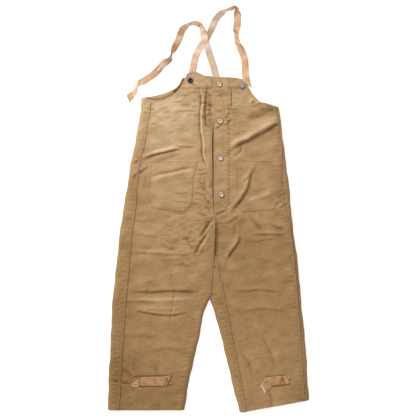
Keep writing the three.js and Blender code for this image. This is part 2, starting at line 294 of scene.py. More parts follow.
def clothMaterial(name, shades, roughness, ribWidth, sheen):
    # shades run from the darkest to the palest, and the piece's own tone attribute picks between them; that
    # tone holds fading and wear, and painted shade and highlight as well
    material, tree, shader = startMaterial(name)
    place = addNode(tree, "ShaderNodeUVMap", uv_map="flat").outputs["UV"]
    tone = addNode(tree, "ShaderNodeAttribute", attribute_name="tone").outputs["Fac"]
    soil = addNode(tree, "ShaderNodeAttribute", attribute_name="soil").outputs["Fac"]
    thin = addNode(tree, "ShaderNodeMapping", {"Vector": place,
        "Scale": (1000 / cottonFinish["streakWidth"], 1000 / cottonFinish["streakLength"], 1)})
    streaks = addNode(tree, "ShaderNodeTexNoise", {"Vector": thin.outputs[0], "Scale": 1.0, "Detail": 3.0})
    clouds = addNode(tree, "ShaderNodeTexNoise", {"Vector": place, "Scale": 24.0, "Detail": 5.0,
        "Roughness": 0.62})
    grain = addNode(tree, "ShaderNodeTexNoise", {"Vector": place, "Scale": 320.0, "Detail": 2.0})
    total = unevenTone(tree, tone, ((streaks, cottonFinish["streak"]), (clouds, cottonFinish["mottle"]),
        (grain, cottonFinish["grain"])))
    ramp = addNode(tree, "ShaderNodeValToRGB", {"Fac": total})
    setStops(ramp, shades)
    stained = addNode(tree, "ShaderNodeMix", {"Factor": soil}, data_type="RGBA")
    # a colour mix has several sockets of each name: 6, 7 and the output 2 are the colours
    stained.inputs[7].default_value = linear(cottonFinish["stain"])
    tree.links.new(ramp.outputs["Color"], stained.inputs[6])
    tree.links.new(stained.outputs[2], shader.inputs["Base Color"])
    ribs = addNode(
        tree, "ShaderNodeTexWave", {"Vector": place, "Scale": 0.314 / (ribWidth * mm), "Distortion": 0.6,
        "Detail": 2.0, "Detail Scale": 0.4}, wave_type="BANDS", bands_direction="X",
    )
    rough = addNode(tree, "ShaderNodeMapRange", {"Value": clouds.outputs["Fac"], "To Min": roughness - 0.08,
        "To Max": roughness + 0.08})
    tree.links.new(rough.outputs[0], shader.inputs["Roughness"])
    height = addNode(tree, "ShaderNodeMath", {0: ribs.outputs["Fac"], 1: 0.6, 2: grain.outputs["Fac"]},
        operation="MULTIPLY_ADD")
    bump = addNode(tree, "ShaderNodeBump", {"Strength": 0.32, "Distance": 0.0005,
        "Height": height.outputs[0]})
    tree.links.new(bump.outputs[0], shader.inputs["Normal"])
    shader.inputs["Sheen Weight"].default_value = sheen
    shader.inputs["Sheen Roughness"].default_value = 0.55
    shader.inputs["Specular IOR Level"].default_value = 0.12
    return material


# corded cotton, piece-dyed and washed until the cords' crests fade: dull, streaked along the cords
cordedCotton = clothMaterial("corded cotton, washed",
    ("#5f4326", "#8b673f", "#b08b60", "#cfab81", "#efd1ab"), 0.86, cottonFinish["ribWidth"], 0.05)
# its inner face, brushed and never faded by light: darker and duller
insideCotton = clothMaterial("corded cotton, inner face",
    ("#46301a", "#6a4b2c", "#8c6840", "#a88458", "#c6a276"), 0.92, cottonFinish["innerRibWidth"], 0.05)


webbingRib = 4.8


def webbingMaterial(name, shades):
    # woven tape: two mirrored slants meet on the middle line; coarser than such tape, so that they show
    material, tree, shader = startMaterial(name)
    place = addNode(tree, "ShaderNodeUVMap", uv_map="flat").outputs["UV"]
    tone = addNode(tree, "ShaderNodeAttribute", attribute_name="tone").outputs["Fac"]
    split = addNode(tree, "ShaderNodeSeparateXYZ", {"Vector": place})
    folded = addNode(tree, "ShaderNodeMath", {0: split.outputs["X"], 1: 0.0}, operation="ABSOLUTE")
    joined = addNode(tree, "ShaderNodeCombineXYZ", {"X": folded.outputs[0], "Y": split.outputs["Y"]})
    twill = addNode(tree, "ShaderNodeTexWave", {"Vector": joined.outputs[0],
        "Scale": 0.628 / (webbingRib * mm), "Distortion": 0.3}, wave_type="BANDS", bands_direction="DIAGONAL")
    clouds = addNode(tree, "ShaderNodeTexNoise", {"Vector": place, "Scale": 45.0, "Detail": 4.0})
    total = unevenTone(tree, tone, ((twill, 0.06), (clouds, 0.30)))
    ramp = addNode(tree, "ShaderNodeValToRGB", {"Fac": total})
    setStops(ramp, shades)
    tree.links.new(ramp.outputs["Color"], shader.inputs["Base Color"])
    rough = addNode(tree, "ShaderNodeMapRange", {"Value": clouds.outputs["Fac"], "To Min": 0.7,
        "To Max": 0.9})
    tree.links.new(rough.outputs[0], shader.inputs["Roughness"])
    bump = addNode(tree, "ShaderNodeBump", {"Strength": 0.5, "Distance": 0.0005,
        "Height": twill.outputs["Fac"]})
    tree.links.new(bump.outputs[0], shader.inputs["Normal"])
    shader.inputs["Sheen Weight"].default_value = 0.05
    shader.inputs["Specular IOR Level"].default_value = 0.12
    return material


# cotton webbing in a herringbone weave, a pinker tan than the cloth, its cut ends almost white
tabWebbing = webbingMaterial("cotton webbing, soiled",
    ("#5a3a22", "#946843", "#ba8c65", "#d6ad88", "#f8ead8"))
webbing = webbingMaterial("cotton webbing, herringbone",
    ("#6e4526", "#ae8058", "#dbb08a", "#f0cdab", "#fbeadb"))


def metalMaterial(name, base, wearAndPaintedLight, metallic, roughness, wear):
    # plate over steel: rubbed spots a few mm across show a second colour and are smoother; where that colour
    # is near white, as on the copper caps, it is a painted highlight as well as rubbed plate
    material, tree, shader = startMaterial(name)
    place = addNode(tree, "ShaderNodeTexCoord").outputs["Object"]
    spots = addNode(tree, "ShaderNodeTexNoise", {"Vector": place, "Scale": 260.0, "Detail": 4.0})
    picked = addNode(tree, "ShaderNodeMapRange", {"Value": spots.outputs["Fac"], "From Min": 0.5 - wear,
        "From Max": 0.62})
    ramp = addNode(tree, "ShaderNodeValToRGB", {"Fac": picked.outputs[0]})
    setStops(ramp, (base, wearAndPaintedLight))
    tree.links.new(ramp.outputs["Color"], shader.inputs["Base Color"])
    rough = addNode(tree, "ShaderNodeMapRange", {"Value": spots.outputs["Fac"], "To Min": roughness + 0.12,
        "To Max": roughness - 0.08})
    tree.links.new(rough.outputs[0], shader.inputs["Roughness"])
    bump = addNode(tree, "ShaderNodeBump", {"Strength": 0.2, "Distance": 0.0003,
        "Height": spots.outputs["Fac"]})
    tree.links.new(bump.outputs[0], shader.inputs["Normal"])
    shader.inputs["Metallic"].default_value = metallic
    return material


# copper-plated pressed caps gone dull and pinkish, their pale base partly a painted reflection and their
# near-white spots partly a painted highlight; blued steel; zinc plate; the steel of tacks and studs
copperPlate = metalMaterial("copper plate, dulled", "#d6b09c", "#ffe9dc", 0.45, 0.5, 0.1)
bluedSteel = metalMaterial("blued steel cap", "#242b36", "#56606f", 0.8, 0.4, 0.02)
zincPlate = metalMaterial("zinc plate, dulled", "#8d9cab", "#d4dde4", 0.6, 0.4, 0.08)
darkSteel = metalMaterial("dark steel, oiled", "#7a5c48", "#d0b7a6", 0.5, 0.5, 0.08)


def threadMaterial(name, pale, dark):
    # cotton thread in a lockstitch: matt, with small changes of shade from stitch to stitch
    material, tree, shader = startMaterial(name)
    place = addNode(tree, "ShaderNodeTexCoord").outputs["Object"]
    shade = addNode(tree, "ShaderNodeTexNoise", {"Vector": place, "Scale": 90.0, "Detail": 2.0})
    ramp = addNode(tree, "ShaderNodeValToRGB", {"Fac": shade.outputs["Fac"]})
    setStops(ramp, (dark, pale), 0.3, 0.7)
    tree.links.new(ramp.outputs["Color"], shader.inputs["Base Color"])
    shader.inputs["Roughness"].default_value = 0.8
    return material


tanThread = threadMaterial("cotton thread, tan", "#cdb08a", "#8e6f4a")

print("materials made")

# The cut of the trousers

cut = {
    "rightOutseam": [(-381.9, -763.8), (-374.3, -558.6), (-362.9, -345.8), (-347.7, -193.8),
        (-328.7, -41.8), (-309.7, 79.8), (-294.5, 171), (-275.5, 262.2), (-252.7, 421.8)],
    "rightInseam": [(-93.1, -763.8), (-70.3, -634.6), (-39.9, -497.8), (-20.9, -406.6), (-2.5, -354),
        (4.1, -341.5)],
    "rightArmhole": [(-252.7, 421.8), (-234, 418), (-212, 411.5), (-181, 413.5), (-147, 426.5),
        (-108, 458.5), (-81.7, 513)],
    "rightBackArmhole": [(-252.7, 421.8), (-228, 427), (-191, 434.5), (-147, 449.5), (-118, 466), (-99, 500)],
    "rightTop": [(-81.7, 513), (-70, 520.6), (-47.5, 520.6), (-15, 507), (18.7, 502)],
    "leftOutseam": [(381.9, -725.8), (366.7, -513), (351.5, -345.8), (336.3, -193.8), (317.3, -41.8),
        (305.9, 72.2), (294.5, 171), (283.1, 262.2), (267.9, 353.4), (264.1, 387.6)],
    "leftInseam": [(119.7, -773.3), (81.7, -619.4), (51.3, -497.8), (28.5, -406.6), (10.5, -354),
        (4.3, -341.5)],
    "leftArmhole": [(264.1, 387.6), (226.1, 399), (195.7, 408.5), (180.5, 421.8), (161.5, 444.6),
        (150.1, 467.4), (146.3, 490.2)],
    "leftBackArmhole": [(264.1, 387.6), (226, 398), (195, 407), (179, 421), (160, 444), (143, 488)],
    "leftTop": [(146.3, 490.2), (127, 493), (100.7, 497.8), (60, 500.5), (19.5, 501.6)],
    "crotchSeam": [(19, -30), (13.3, -155.8), (5.7, -269.8), (4.2, -341)],
    "flyLine": 19,
    "flyEnd": -30,
    "cloth": 1.6,  # two plies where it shows, felted by washing
    "edgeRoll": 16,  # how far in from a folded side the front reaches its full height
    "edgeHeight": 9.6,
    "frontHeight": 20.0,
    "backHeight": 1.5,  # its seams are felled on the outside, and it lies on them
}
sides = {key: curveThrough(cut[key], 6) for key in cut if isinstance(cut[key], list)}
sides["backMiddle"] = np.vstack([evenly([(19, 496), (19, -30)], 6), sides["crotchSeam"][1:-2]])
for key, seed in (("rightOutseam", 3), ("leftOutseam", 4), ("rightInseam", 5), ("leftInseam", 6)):
    # a washed edge is never straight; the ends stay where the hem and the armhole meet them
    line = sides[key]
    ends = smooth(np.minimum(np.arange(len(line)), np.arange(len(line))[::-1]) / 6)
    sway = np.sin(line[:, 1] / 21 + seed) * 0.9 + np.sin(line[:, 1] / 9.3 + 2 * seed) * 0.5
    sway += np.sin(line[:, 1] / 47) * 0.9
    line[:, 0] += sway * ends
closedSides = [sides[key] for key in ("rightOutseam", "rightInseam", "leftOutseam", "leftInseam")]

buttons = {
    "fly": [(41, 472.7), (44.5, 332.9), (45.2, 191.9), (48.6, 54)],
    "strap": {"right": (-69.2, 487.2), "left": (126.2, 468.2)},
    "studs": [(-141.4, -662.3), (-260, -684), (305.5, -641), (185.1, -660.8)],
}
flatSpots = buttons["fly"] + list(buttons["strap"].values()) + buttons["studs"]

# Creases: (line, depth, half width, crest): the crest stands beside the valley, above 0 on the left of the
# line's direction, and a negative depth is a ridge
creases = [
    # chest, right front
    ([(-246, 186), (-219, 199), (-187, 208), (-153, 216), (-125, 223), (-104, 225)], 3.8, 5.5, 0.75),
    ([(-284, 172), (-259, 186)], 2.6, 4.5, 0.5),
    ([(-125, 241), (-99, 234), (-49, 233)], 2.0, 4.5, 0.5),
    ([(-127, 369), (-99, 371), (-44, 370)], 2.0, 3.5, 0.5),
    ([(-136, 361), (-88, 365)], 1.0, 4, 0.4),
    ([(-144, 408), (-131, 404.5), (-106, 406)], 1.4, 4, 0.5),
    ([(-116, 430), (-76, 430)], 0.8, 3.5, 0.4),
    ([(-213, 172), (-154, 192), (-108, 207)], 1.2, 8, -0.5),
    # beside the fly
    ([(-34, 458), (-28, 406), (-33, 372), (-32, 297), (-25, 252), (-24, 203), (-11, 164)], 4.2, 3.8, 0.8),
    ([(-64, 477), (-50, 468), (-37, 465)], 2.2, 3.5, 0.5),
    ([(-7, 472), (-9, 420), (-12, 380), (-12, 335), (-6, 300)], 3.4, 4.6, 0),
    ([(-29, 351), (-3, 353)], 1.3, 3, 0.5),
    ([(-24, 443), (-2, 440)], 1.2, 3, 0.5),
    ([(-21, 296), (2, 294)], 1.4, 3.5, 0.4),
    # right pocket and the cloth round it
    ([(-219, 124), (-184, 133), (-136, 142), (-97, 152), (-57, 158)], 2.4, 6.5, -0.75),
    ([(-292, 112), (-274, 128), (-245, 146), (-226, 160)], 2.2, 5.5, 0.5),
    ([(-50, 128), (-3, 132)], 1.9, 3.6, -0.4),
    ([(-22, 192), (-12, 176), (-4, 160)], 2.0, 3.2, 0.5),
    ([(-46, 143), (-25, 145), (-8, 151)], 1.3, 3.2, -0.4),
    ([(-48, 104), (-30, 98), (-14, 93)], 1.6, 3.2, 0.5),
    ([(-17, 50), (-6, 34), (6, 18)], 2.2, 3.4, 0.5),
    ([(-56, 40), (-40, 36), (-24, 38)], 1.2, 3.2, 0.4),
    ([(-38, -15), (-20, -20), (-6, -27)], 1.5, 3.2, 0.4),
    ([(12, 118), (13, 94), (12, 70)], 1.6, 5.5, 0),
    ([(-16, 117), (-12, 76), (1, 58)], 1.7, 4.5, 0.5),
    ([(-33, 120), (-26, 92), (-13, 65)], 1.6, 4, 0.5),
    ([(-52, 65), (-34, 56), (-5, 51)], 2.0, 4, 0.4),
    ([(-6, 23), (7, 33)], 1.8, 4, 0.3),
    ([(-60, 17), (-27, 19)], 1.4, 4, 0.3),
    ([(-13, 11), (4, -4), (11, -23)], 1.4, 5, 0.3),
    ([(-132, 58), (-78, 56)], 0.9, 4.5, 0.4),
    ([(-128, 26), (-64, 22)], 1.0, 4, 0.4),
    ([(-121, -19), (-90, -21), (-74, -28)], 1.4, 4, -0.4),
    # from the fly's end down to the fork
    ([(21, -35), (1, -55), (-12, -77), (-32, -107)], 3.8, 5, 0.5),
    ([(-2, -86), (-18, -112), (-34, -138), (-54, -175)], 3.4, 5.5, 0.5),
    ([(26, -33), (29, -86), (28, -132), (24, -190)], 2.6, 4.5, 0),
    ([(33, -42), (36, -90), (34, -140), (29, -200)], 1.6, 10, 0),
    ([(27, -20), (62, -8)], 1.5, 4, 0.4),
    ([(60, -57), (84, -49), (116, -28)], 2.0, 6, 0.5),
    # right leg
    ([(-285, -168), (-222, -170), (-150, -175)], 1.3, 5, 1.2),
    ([(-178, -136), (-149, -149), (-122, -153)], 1.4, 5, 0.5),
    ([(-83, -116), (-66, -142), (-57, -158)], 1.4, 5, 0.5),
    ([(-279, -45), (-250, -51), (-222, -43)], 1.1, 6, 0.5),
    ([(-276, -97), (-230, -104), (-184, -111)], 1.0, 7, 0.5),
    ([(-165, -176), (-108, -175), (-64, -180)], 1.4, 5, 0.4),
    ([(-139, -217), (-101, -214), (-60, -220)], 1.2, 5, 0.4),
    ([(-301, -315), (-222, -318), (-139, -313), (-34, -318)], 2.6, 6, 0.3),
    ([(-300, -342), (-200, -344), (-60, -341)], -1.8, 9, 0),
    ([(-344, -358), (-262, -355), (-184, -360)], 1.0, 6, 0.4),
    ([(-276, -387), (-222, -398), (-146, -405), (-78, -394)], 2.6, 4.5, 0.6),
    ([(-270, -372), (-180, -378), (-90, -372)], -1.3, 9, 0),
    ([(-124, -296), (-136, -365), (-150, -452)], 1.0, 4, 0.5),
    ([(-329, -490), (-260, -483), (-192, -494)], 0.9, 10, 0.5),
    ([(-222, -543), (-154, -532), (-101, -540)], 0.9, 9, 0.5),
    ([(-330, -600), (-290, -640), (-281, -700)], 1.2, 8, 0.5),
    ([(-200, -590), (-192, -640)], 1.0, 8, 0.4),
    ([(-378, -651), (-336, -657), (-288, -668)], 2.4, 3, -0.7),
    # left chest
    ([(87, 456), (86.5, 414), (87, 378)], 3.0, 3.2, -0.4),
    ([(84, 374), (100, 375.5), (120, 375)], 2.4, 3.2, 0.5),
    ([(52, 452), (54, 410), (66, 372), (66, 345)], 0.9, 3.5, 0.5),
    ([(262, 386), (232, 399), (198, 404), (178, 400)], -1.8, 7, 0),
    ([(168, 408), (185, 392)], 1.8, 4, 0.6),
    ([(185, 402), (200, 392)], 1.6, 4, 0.6),
    ([(200, 372), (226, 379), (252, 366)], 1.4, 5, 0.5),
    ([(97, 395), (136, 392)], -1.0, 4.5, 0),
    ([(24, 300), (51, 317), (71, 321), (77, 333), (90, 338)], 2.6, 4.5, 0.6),
    ([(62, 332), (76, 360), (84, 376)], 1.8, 4, 0.4),
    ([(28, 420), (51, 436), (78, 439)], 0.9, 4.5, 0.4),
    ([(276, 325), (245, 310), (217, 294), (182, 276), (152, 257), (125, 247), (102, 232), (84, 219)],
        4.2, 9, -0.8),
    ([(125, 243), (121, 218), (92, 196)], 2.0, 6, 0.5),
    ([(236, 372), (192, 357), (150, 344)], 1.9, 17, 0.5),
    ([(161, 397), (180, 413)], 1.8, 4, 0.5),
    ([(208, 408), (231, 386), (256, 377)], 2.2, 6, 0.5),
    ([(190, 387), (228, 388)], 1.0, 5, 0.5),
    # left pocket and the cloth round it
    ([(178, 154), (162, 128), (157, 98), (148, 70), (125, 33), (102, 6), (89, -16)], 3.2, 7, -0.6),
    ([(134, 100), (152, 121)], 1.8, 6, 0.5),
    ([(108, 185), (150, 179), (200, 176), (264, 177)], 1.3, 3, -0.3),
    ([(150, 32), (195, 46), (238, 62)], -1.5, 9, 0),
    ([(272, 2), (302, 20)], 1.8, 4, 0.4),
    ([(261, 15), (280, 32)], 1.2, 4, 0.4),
    # left leg
    ([(28, -17), (62, -8)], 1.2, 4, 0.4),
    ([(100, -62), (99, -109)], 0.9, 5, 0.4),
    ([(118, -97), (119, -118), (104, -146), (88, -166), (70, -196)], 2.8, 6.5, -0.5),
    ([(160, -100), (218, -98), (277, -99), (312, -92)], 1.6, 4.5, 0.9),
    ([(162, -128), (205, -121), (256, -113)], 1.0, 5, 0.4),
    ([(236, -62), (262, -72), (290, -78)], 1.6, 11, 0.5),
    ([(157, -32), (184, -60), (206, -82)], 1.5, 12, 0.5),
    ([(112, -317), (188, -310), (281, -318)], 1.3, 6, 0.5),
    ([(139, -391), (203, -382), (291, -391)], 1.0, 7, 0.5),
    ([(203, -490), (234, -543), (249, -597)], 1.0, 9, 0.5),
    ([(120, -543), (150, -581), (165, -627)], 0.9, 9, 0.5),
    ([(230, -690), (240, -730), (236, -765)], 1.1, 8, 0.5),
]
creaseGain = 1.5
creases = [(curveThrough(line, 7), depth * creaseGain, width, crest) for line, depth, width, crest in creases]

ankleTabs = {"right": [(-146, -651), (-275, -654)], "left": [(291, -649), (224, -655)]}

relief = {
    "hills": 1.7,  # broad unevenness, 150 mm across
    "waves": 0.9,  # soft rumples, 62 mm across
    "crumple": 0.3,  # small sharp ones, 19 mm across
    "pucker": 0.7,  # ripples where a seam's thread has drawn the cloth in
    "puckerPitch": 17,
}


def sideDistance(x, y):
    far = np.full(x.shape, 1e9)
    for line in closedSides:
        far = np.minimum(far, along(x, y, line)[0])
    return far


def backUnder(far):
    # the back's lower face, which curls up to meet the front at a folded side
    t = np.clip(far / cut["edgeRoll"], 0, 1)
    return cut["backHeight"] + 5.1 * (1 - np.sqrt(1 - (1 - t) ** 2))


def creaseHeight(x, y):
    # the height that the creases add, and how much of a valley or crest each point is, which is painted as
    # shade in the valleys and highlight on the crests
    height = np.zeros(x.shape)
    shade = np.zeros(x.shape)
    for line, depth, width, crest in creases:
        low, high = line.min(0) - 5 * width, line.max(0) + 5 * width
        near = (x > low[0]) & (x < high[0]) & (y > low[1]) & (y < high[1])
        if not near.any():
            continue
        far, side, part = along(x[near], y[near], line)
        ends = 0.25 + 0.75 * smooth(np.minimum(part, 1 - part) / 0.22)
        ends = ends * np.where((part <= 0) | (part >= 1), bell(far, width), 1)
        valley = 0.65 * bell(far, width) + 0.5 * bell(far, 0.45 * width)
        signed = far * side * (1 if crest >= 0 else -1)
        ridge = abs(crest) * bell(signed - 1.75 * width, 1.35 * width)
        height[near] += depth * ends * (ridge - valley)
        # painted shade in each valley and painted highlight on its crest
        shade[near] += depth * ends * (0.8 * ridge - valley)
    return height, shade


def settle(x, y):
    # 0 where something flat is sewn or fastened, 1 elsewhere
    free = np.ones(x.shape)
    for bx, by in flatSpots:
        free *= 1 - bell(np.hypot(x - bx, y - by), 17)
    for line in ankleTabs.values():
        free *= 1 - bell(along(x, y, line)[0], 26)
    return free


def frontTop(x, y):
    # the front's upper surface, and the light and shade painted onto it
    x, y = np.asarray(x, float), np.asarray(y, float)
    far = sideDistance(x, y)
    t = np.clip(far / cut["edgeRoll"], 0, 1)
    base = cut["edgeHeight"] + (cut["frontHeight"] - cut["edgeHeight"]) * np.sqrt(1 - (1 - t) ** 2)
    height, shade = creaseHeight(x, y)
    # fine level creases, most across the chest and round the fork, and ruffles in the hollow by the fly
    small = 1 - np.abs(waves(x, y, 60, 5, 0.34)) * 1.5
    busy = 0.3 + bell(y - 395, 70) + bell(np.hypot(x + 40, y + 90), 110)
    hollow = bell(x - 1, 12) * smooth((y - 295) / 20) * smooth((475 - y) / 20)
    ruffle = waves(x, y, 19, 8, 0.7) * hollow
    calm = 0.6 + 0.4 * smooth((y + 430) / 200)
    height = height + relief["hills"] * waves(x, y, 150, 1, 1.6)
    height = height + relief["waves"] * calm * waves(x, y, 62, 2, 0.6)
    height = height + relief["crumple"] * (0.6 * waves(x, y, 19, 3, 0.6) + 2.4 * busy * small) + 1.3 * ruffle
    # painted light and shade: a broad random unevenness, then painted shade and highlight on the crumples,
    # the fine creases and the ruffles, with the hollow by the fly painted darker
    shade = shade + 0.6 * calm * waves(x, y, 80, 9, 0.8) + 0.2 * waves(x, y, 19, 3, 0.6)
    shade = shade + 1.1 * busy * (small - 0.35)
    shade = shade + 2.0 * ruffle - 2.5 * hollow
    run = np.sin(2 * math.pi * (y + 6 * waves(x, y, 90, 7)) / relief["puckerPitch"])
    pucker = relief["pucker"] * bell(far - 26, 15) * run
    height = height + pucker
    # painted shade and highlight on the puckers
    shade = shade + 0.7 * pucker
    drawn = bell(x - 78, 10) * smooth((y + 10) / 20) * smooth((378 - y) / 12)
    drawn = drawn * np.sin(2 * math.pi * (y + 0.3 * x + 4 * waves(x, y, 50, 17)) / 13)
    height = height + 1.0 * drawn
    # painted shade and highlight on the ripples drawn in beside the placket
    shade = shade + 1.7 * drawn
    free = settle(x, y) * (0.2 + 0.8 * smooth(far / 18))
    height = np.maximum(height * free, -4.2)
    # the right front's open edge sinks a little below the placket beside it
    sunk = bell(x - 15, 9) * ((x < 19.3) & (y > cut["flyEnd"] + 4))
    return base + height - 1.6 * sunk, shade * free


# How pale the cloth is from place to place: fading from sun, washing and handling, together with painted
# light and shade, brightest where a painted highlight lies on the upper chest at the left; 0.5 is the middle
# shade
fadeAndLightPlaces = [
    (-160, 330, 0.84), (-150, 240, 0.78), (-70, 420, 0.74), (-60, 290, 0.68), (-225, 300, 0.74),
    (-265, 210, 0.60),
    (-180, 385, 0.86), (-110, 340, 0.84), (-150, 400, 0.9),
    (170, 370, 0.60), (200, 250, 0.56), (240, 320, 0.48), (120, 420, 0.72), (50, 250, 0.60), (50, 400, 0.66),
    (180, 400, 0.76), (240, 375, 0.58), (130, 330, 0.60),
    (-140, 130, 0.62), (-140, 40, 0.60), (190, 120, 0.55), (190, 30, 0.53), (-280, 60, 0.50), (290, 90, 0.46),
    (-220, -80, 0.60), (-100, -90, 0.55), (-180, -230, 0.52), (-330, -160, 0.44), (100, -120, 0.43),
    (220, -150, 0.42), (320, -160, 0.42), (-200, -340, 0.50), (-90, -360, 0.47), (-340, -400, 0.40),
    (180, -330, 0.43), (300, -400, 0.42), (60, -420, 0.42), (-220, -500, 0.47), (-120, -560, 0.45),
    (-330, -620, 0.30), (-250, -700, 0.36), (-150, -720, 0.36), (200, -540, 0.48), (300, -600, 0.45),
    (250, -700, 0.50), (150, -700, 0.47), (360, -700, 0.38),
]
stains = [(-142, -251, 5), (-224, -277, 6), (-234, -308, 7), (-96, -205, 4), (-190, -290, 4),
    (-60, -420, 5), (150, -420, 5), (-120, 60, 4), (210, -590, 6), (-300, -560, 6)]


def fadeAndLightAt(x, y):
    weight = np.zeros(x.shape)
    total = np.zeros(x.shape)
    for px, py, tone in fadeAndLightPlaces:
        w = 1 / (((x - px) ** 2 + (y - py) ** 2) / 70.0**2 + 0.35) ** 1.6
        weight += w
        total += w * tone
    return total / weight


def shadowRoundHardware(x, y):
    # painted shadow: a dark ring round each button, and dark lines along the tabs' edges
    total = np.zeros(x.shape)
    for bx, by in flatSpots[:6]:
        total -= 0.28 * bell(np.hypot(x - bx, y - by) - 10.5, 2.6)
    for line in ([(-281, -635), (-140, -631)], [(-262, -674), (-146, -669)], [(217, -636), (291, -630)],
            [(243, -673), (290, -668)]):
        total -= 0.3 * bell(along(x, y, line)[0], 2.6)
    return total


def soilAt(x, y):
    soil = np.zeros(x.shape)
    for sx, sy, size in stains:
        soil += 0.5 * bell(np.hypot(x - sx, (y - sy) * 1.3), size)
    return np.clip(soil, 0, 0.6)


shadeGain = 0.07


def seamShade(x, y, lines, reach, amount):
    total = np.zeros(x.shape)
    for line in lines:
        far = along(x, y, line)[0]
        total += amount * bell(far, reach)
    return total


felledSeams = {
    "right": [(-223, 405), (-230, 349), (-240, 288), (-247, 240), (-258, 205), (-266, 145), (-275, 80),
        (-279, 14), (-287, -51), (-295, -106), (-300, -160), (-312, -300), (-326, -480), (-336, -640),
        (-343, -760)],
    "left": [(262, 385), (273, 300), (275, 217), (273, 167), (277, 70), (292, -20), (304, -63),
        (312, -105), (322, -200), (335, -340), (346, -500), (356, -640), (362, -727)],
    "rightInner": [(-12, -330), (-36, -380), (-58, -450), (-84, -560), (-108, -690), (-118, -763)],
    "leftInner": [(26, -180), (32, -213), (46, -280), (68, -391), (86, -490), (108, -593), (126, -690),
        (139, -770)],
    "width": 11,
    "middleWidth": 10.5,
}
seamLines = {key: curveThrough(felledSeams[key], 6) for key in ("right", "left", "rightInner", "leftInner")}


def loopOf(*parts):
    points = np.vstack([np.array(part, float) for part in parts])
    keep = [0]
    for i in range(1, len(points)):
        if np.linalg.norm(points[i] - points[keep[-1]]) > 0.8:
            keep.append(i)
    points = points[keep]
    return points[:-1] if np.linalg.norm(points[0] - points[-1]) < 0.8 else points


def straight(a, b, step=6):
    return evenly([a, b], step)


middle = {"right": -0.04, "left": 0.04}
crotch = {side: curveThrough([(x + dx, y) for x, y in cut["crotchSeam"]], 6) for side, dx in middle.items()}
# the right front's open edge: it lies shut above, and gapes over the dark underlap below
flyEdge = curveThrough([(18.7, 502), (18.7, 330), (14.6, 285), (15.2, 150), (15.8, 60), (18.4, -24)], 6)

frontLoops = {
    "right": loopOf(
        sides["rightOutseam"], sides["rightArmhole"], sides["rightTop"],
        flyEdge, crotch["right"], sides["rightInseam"][::-1],
        straight((-93.1, -763.8), (-381.9, -763.8)),
    ),
    "left": loopOf(
        sides["leftOutseam"], sides["leftArmhole"], sides["leftTop"],
        straight((19.5, 501.6), (19.1, -30)), crotch["left"], sides["leftInseam"][::-1],
        straight((119.7, -773.3), (381.9, -725.8)),
    ),
}
backLoops = {
    "right": loopOf(
        sides["rightOutseam"], sides["rightBackArmhole"], straight((-99, 500), (18.5, 500)),
        straight((18.96, 500), (18.96, -30)), crotch["right"], sides["rightInseam"][::-1],
        straight((-93.1, -763.8), (-381.9, -763.8)),
    ),
    "left": loopOf(
        sides["leftOutseam"], sides["leftBackArmhole"], straight((143, 488), (19.5, 500)),
        straight((19.04, 500), (19.04, -30)), crotch["left"], sides["leftInseam"][::-1],
        straight((119.7, -773.3), (381.9, -725.8)),
    ),
}

shin = {"right": "shin_right", "left": "shin_left"}


def bendAtKnee(piece):
    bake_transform(piece)


def declare(loop):
    loop = np.array(loop, float)


hemLines = {"right": straight((-93.1, -738), (-381, -738)), "left": straight((113, -748), (380, -701))}

grid = {"front": 4.0, "back": 7.0}
for side in ("right", "left"):
    verts, faces = cutSheet(frontLoops[side], grid["front"], rings=(1.2, 3.2, 6.5))
    x, y = verts.T
    z, shade = frontTop(x, y)
    # painted shade beside the felled seams and along the hem line
    wearAndPaintedLight = seamShade(x, y, [seamLines[side]] + [seamLines["leftInner"]], 9, -0.055)
    wearAndPaintedLight += seamShade(x, y, [hemLines[side]], 5, -0.05)
    # painted shade where the front rolls down at its folded sides
    rim = bell(sideDistance(x, y), 7) * -0.05
    tone = fadeAndLightAt(x, y) + shadeGain * shade + wearAndPaintedLight + rim + shadowRoundHardware(x, y)
    front = newMesh("front_" + side, np.stack([x, y, z], 1), faces, cordedCotton, verts,
        {"tone": tone, "soil": soilAt(x, y)})
    thicken(front, cut["cloth"])
    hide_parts("front_panel_" + side, "front_panel_" + side + "_lower")
    declare(frontLoops[side])
    bendAtKnee(front)

    verts, faces = cutSheet(backLoops[side], grid["back"], rings=(1.2, 3.2, 6.5))
    x, y = verts.T
    far = sideDistance(x, y)
    rumple = 0.55 * (1 + waves(x, y, 90, 12)) * smooth(far / 20) * 0.5
    tone = fadeAndLightAt(x, y) - 0.05 + 0.025 * waves(x, y, 70, 13) + 0.02 * waves(x, y, 24, 14)
    # painted shadow that the front's armhole edge casts on the back
    tone += seamShade(x, y, [sides[side + "Armhole"]], 9, -0.45)
    seams = [seamLines["rightInner"]] if side == "right" else []
    flat = np.ones(len(x))
    for line in seams + [sides["backMiddle"]]:
        flat *= 1 - bell(along(x, y, line)[0], 9)
    z = backUnder(far) + rumple * flat + cut["cloth"]
    # painted shade beside the back's felled seams
    tone += seamShade(x, y, seams + [sides["backMiddle"]], 9, -0.06)
    back = newMesh("back_" + side, np.stack([x, y, z], 1), faces, cordedCotton, verts,
        {"tone": tone, "soil": np.zeros(len(x))})
    thicken(back, cut["cloth"])
    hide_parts("back_panel_" + side, "back_panel_" + side + "_lower")
    declare(backLoops[side])
    bendAtKnee(back)
print("fronts and backs cut")

# Patches sewn on the fronts

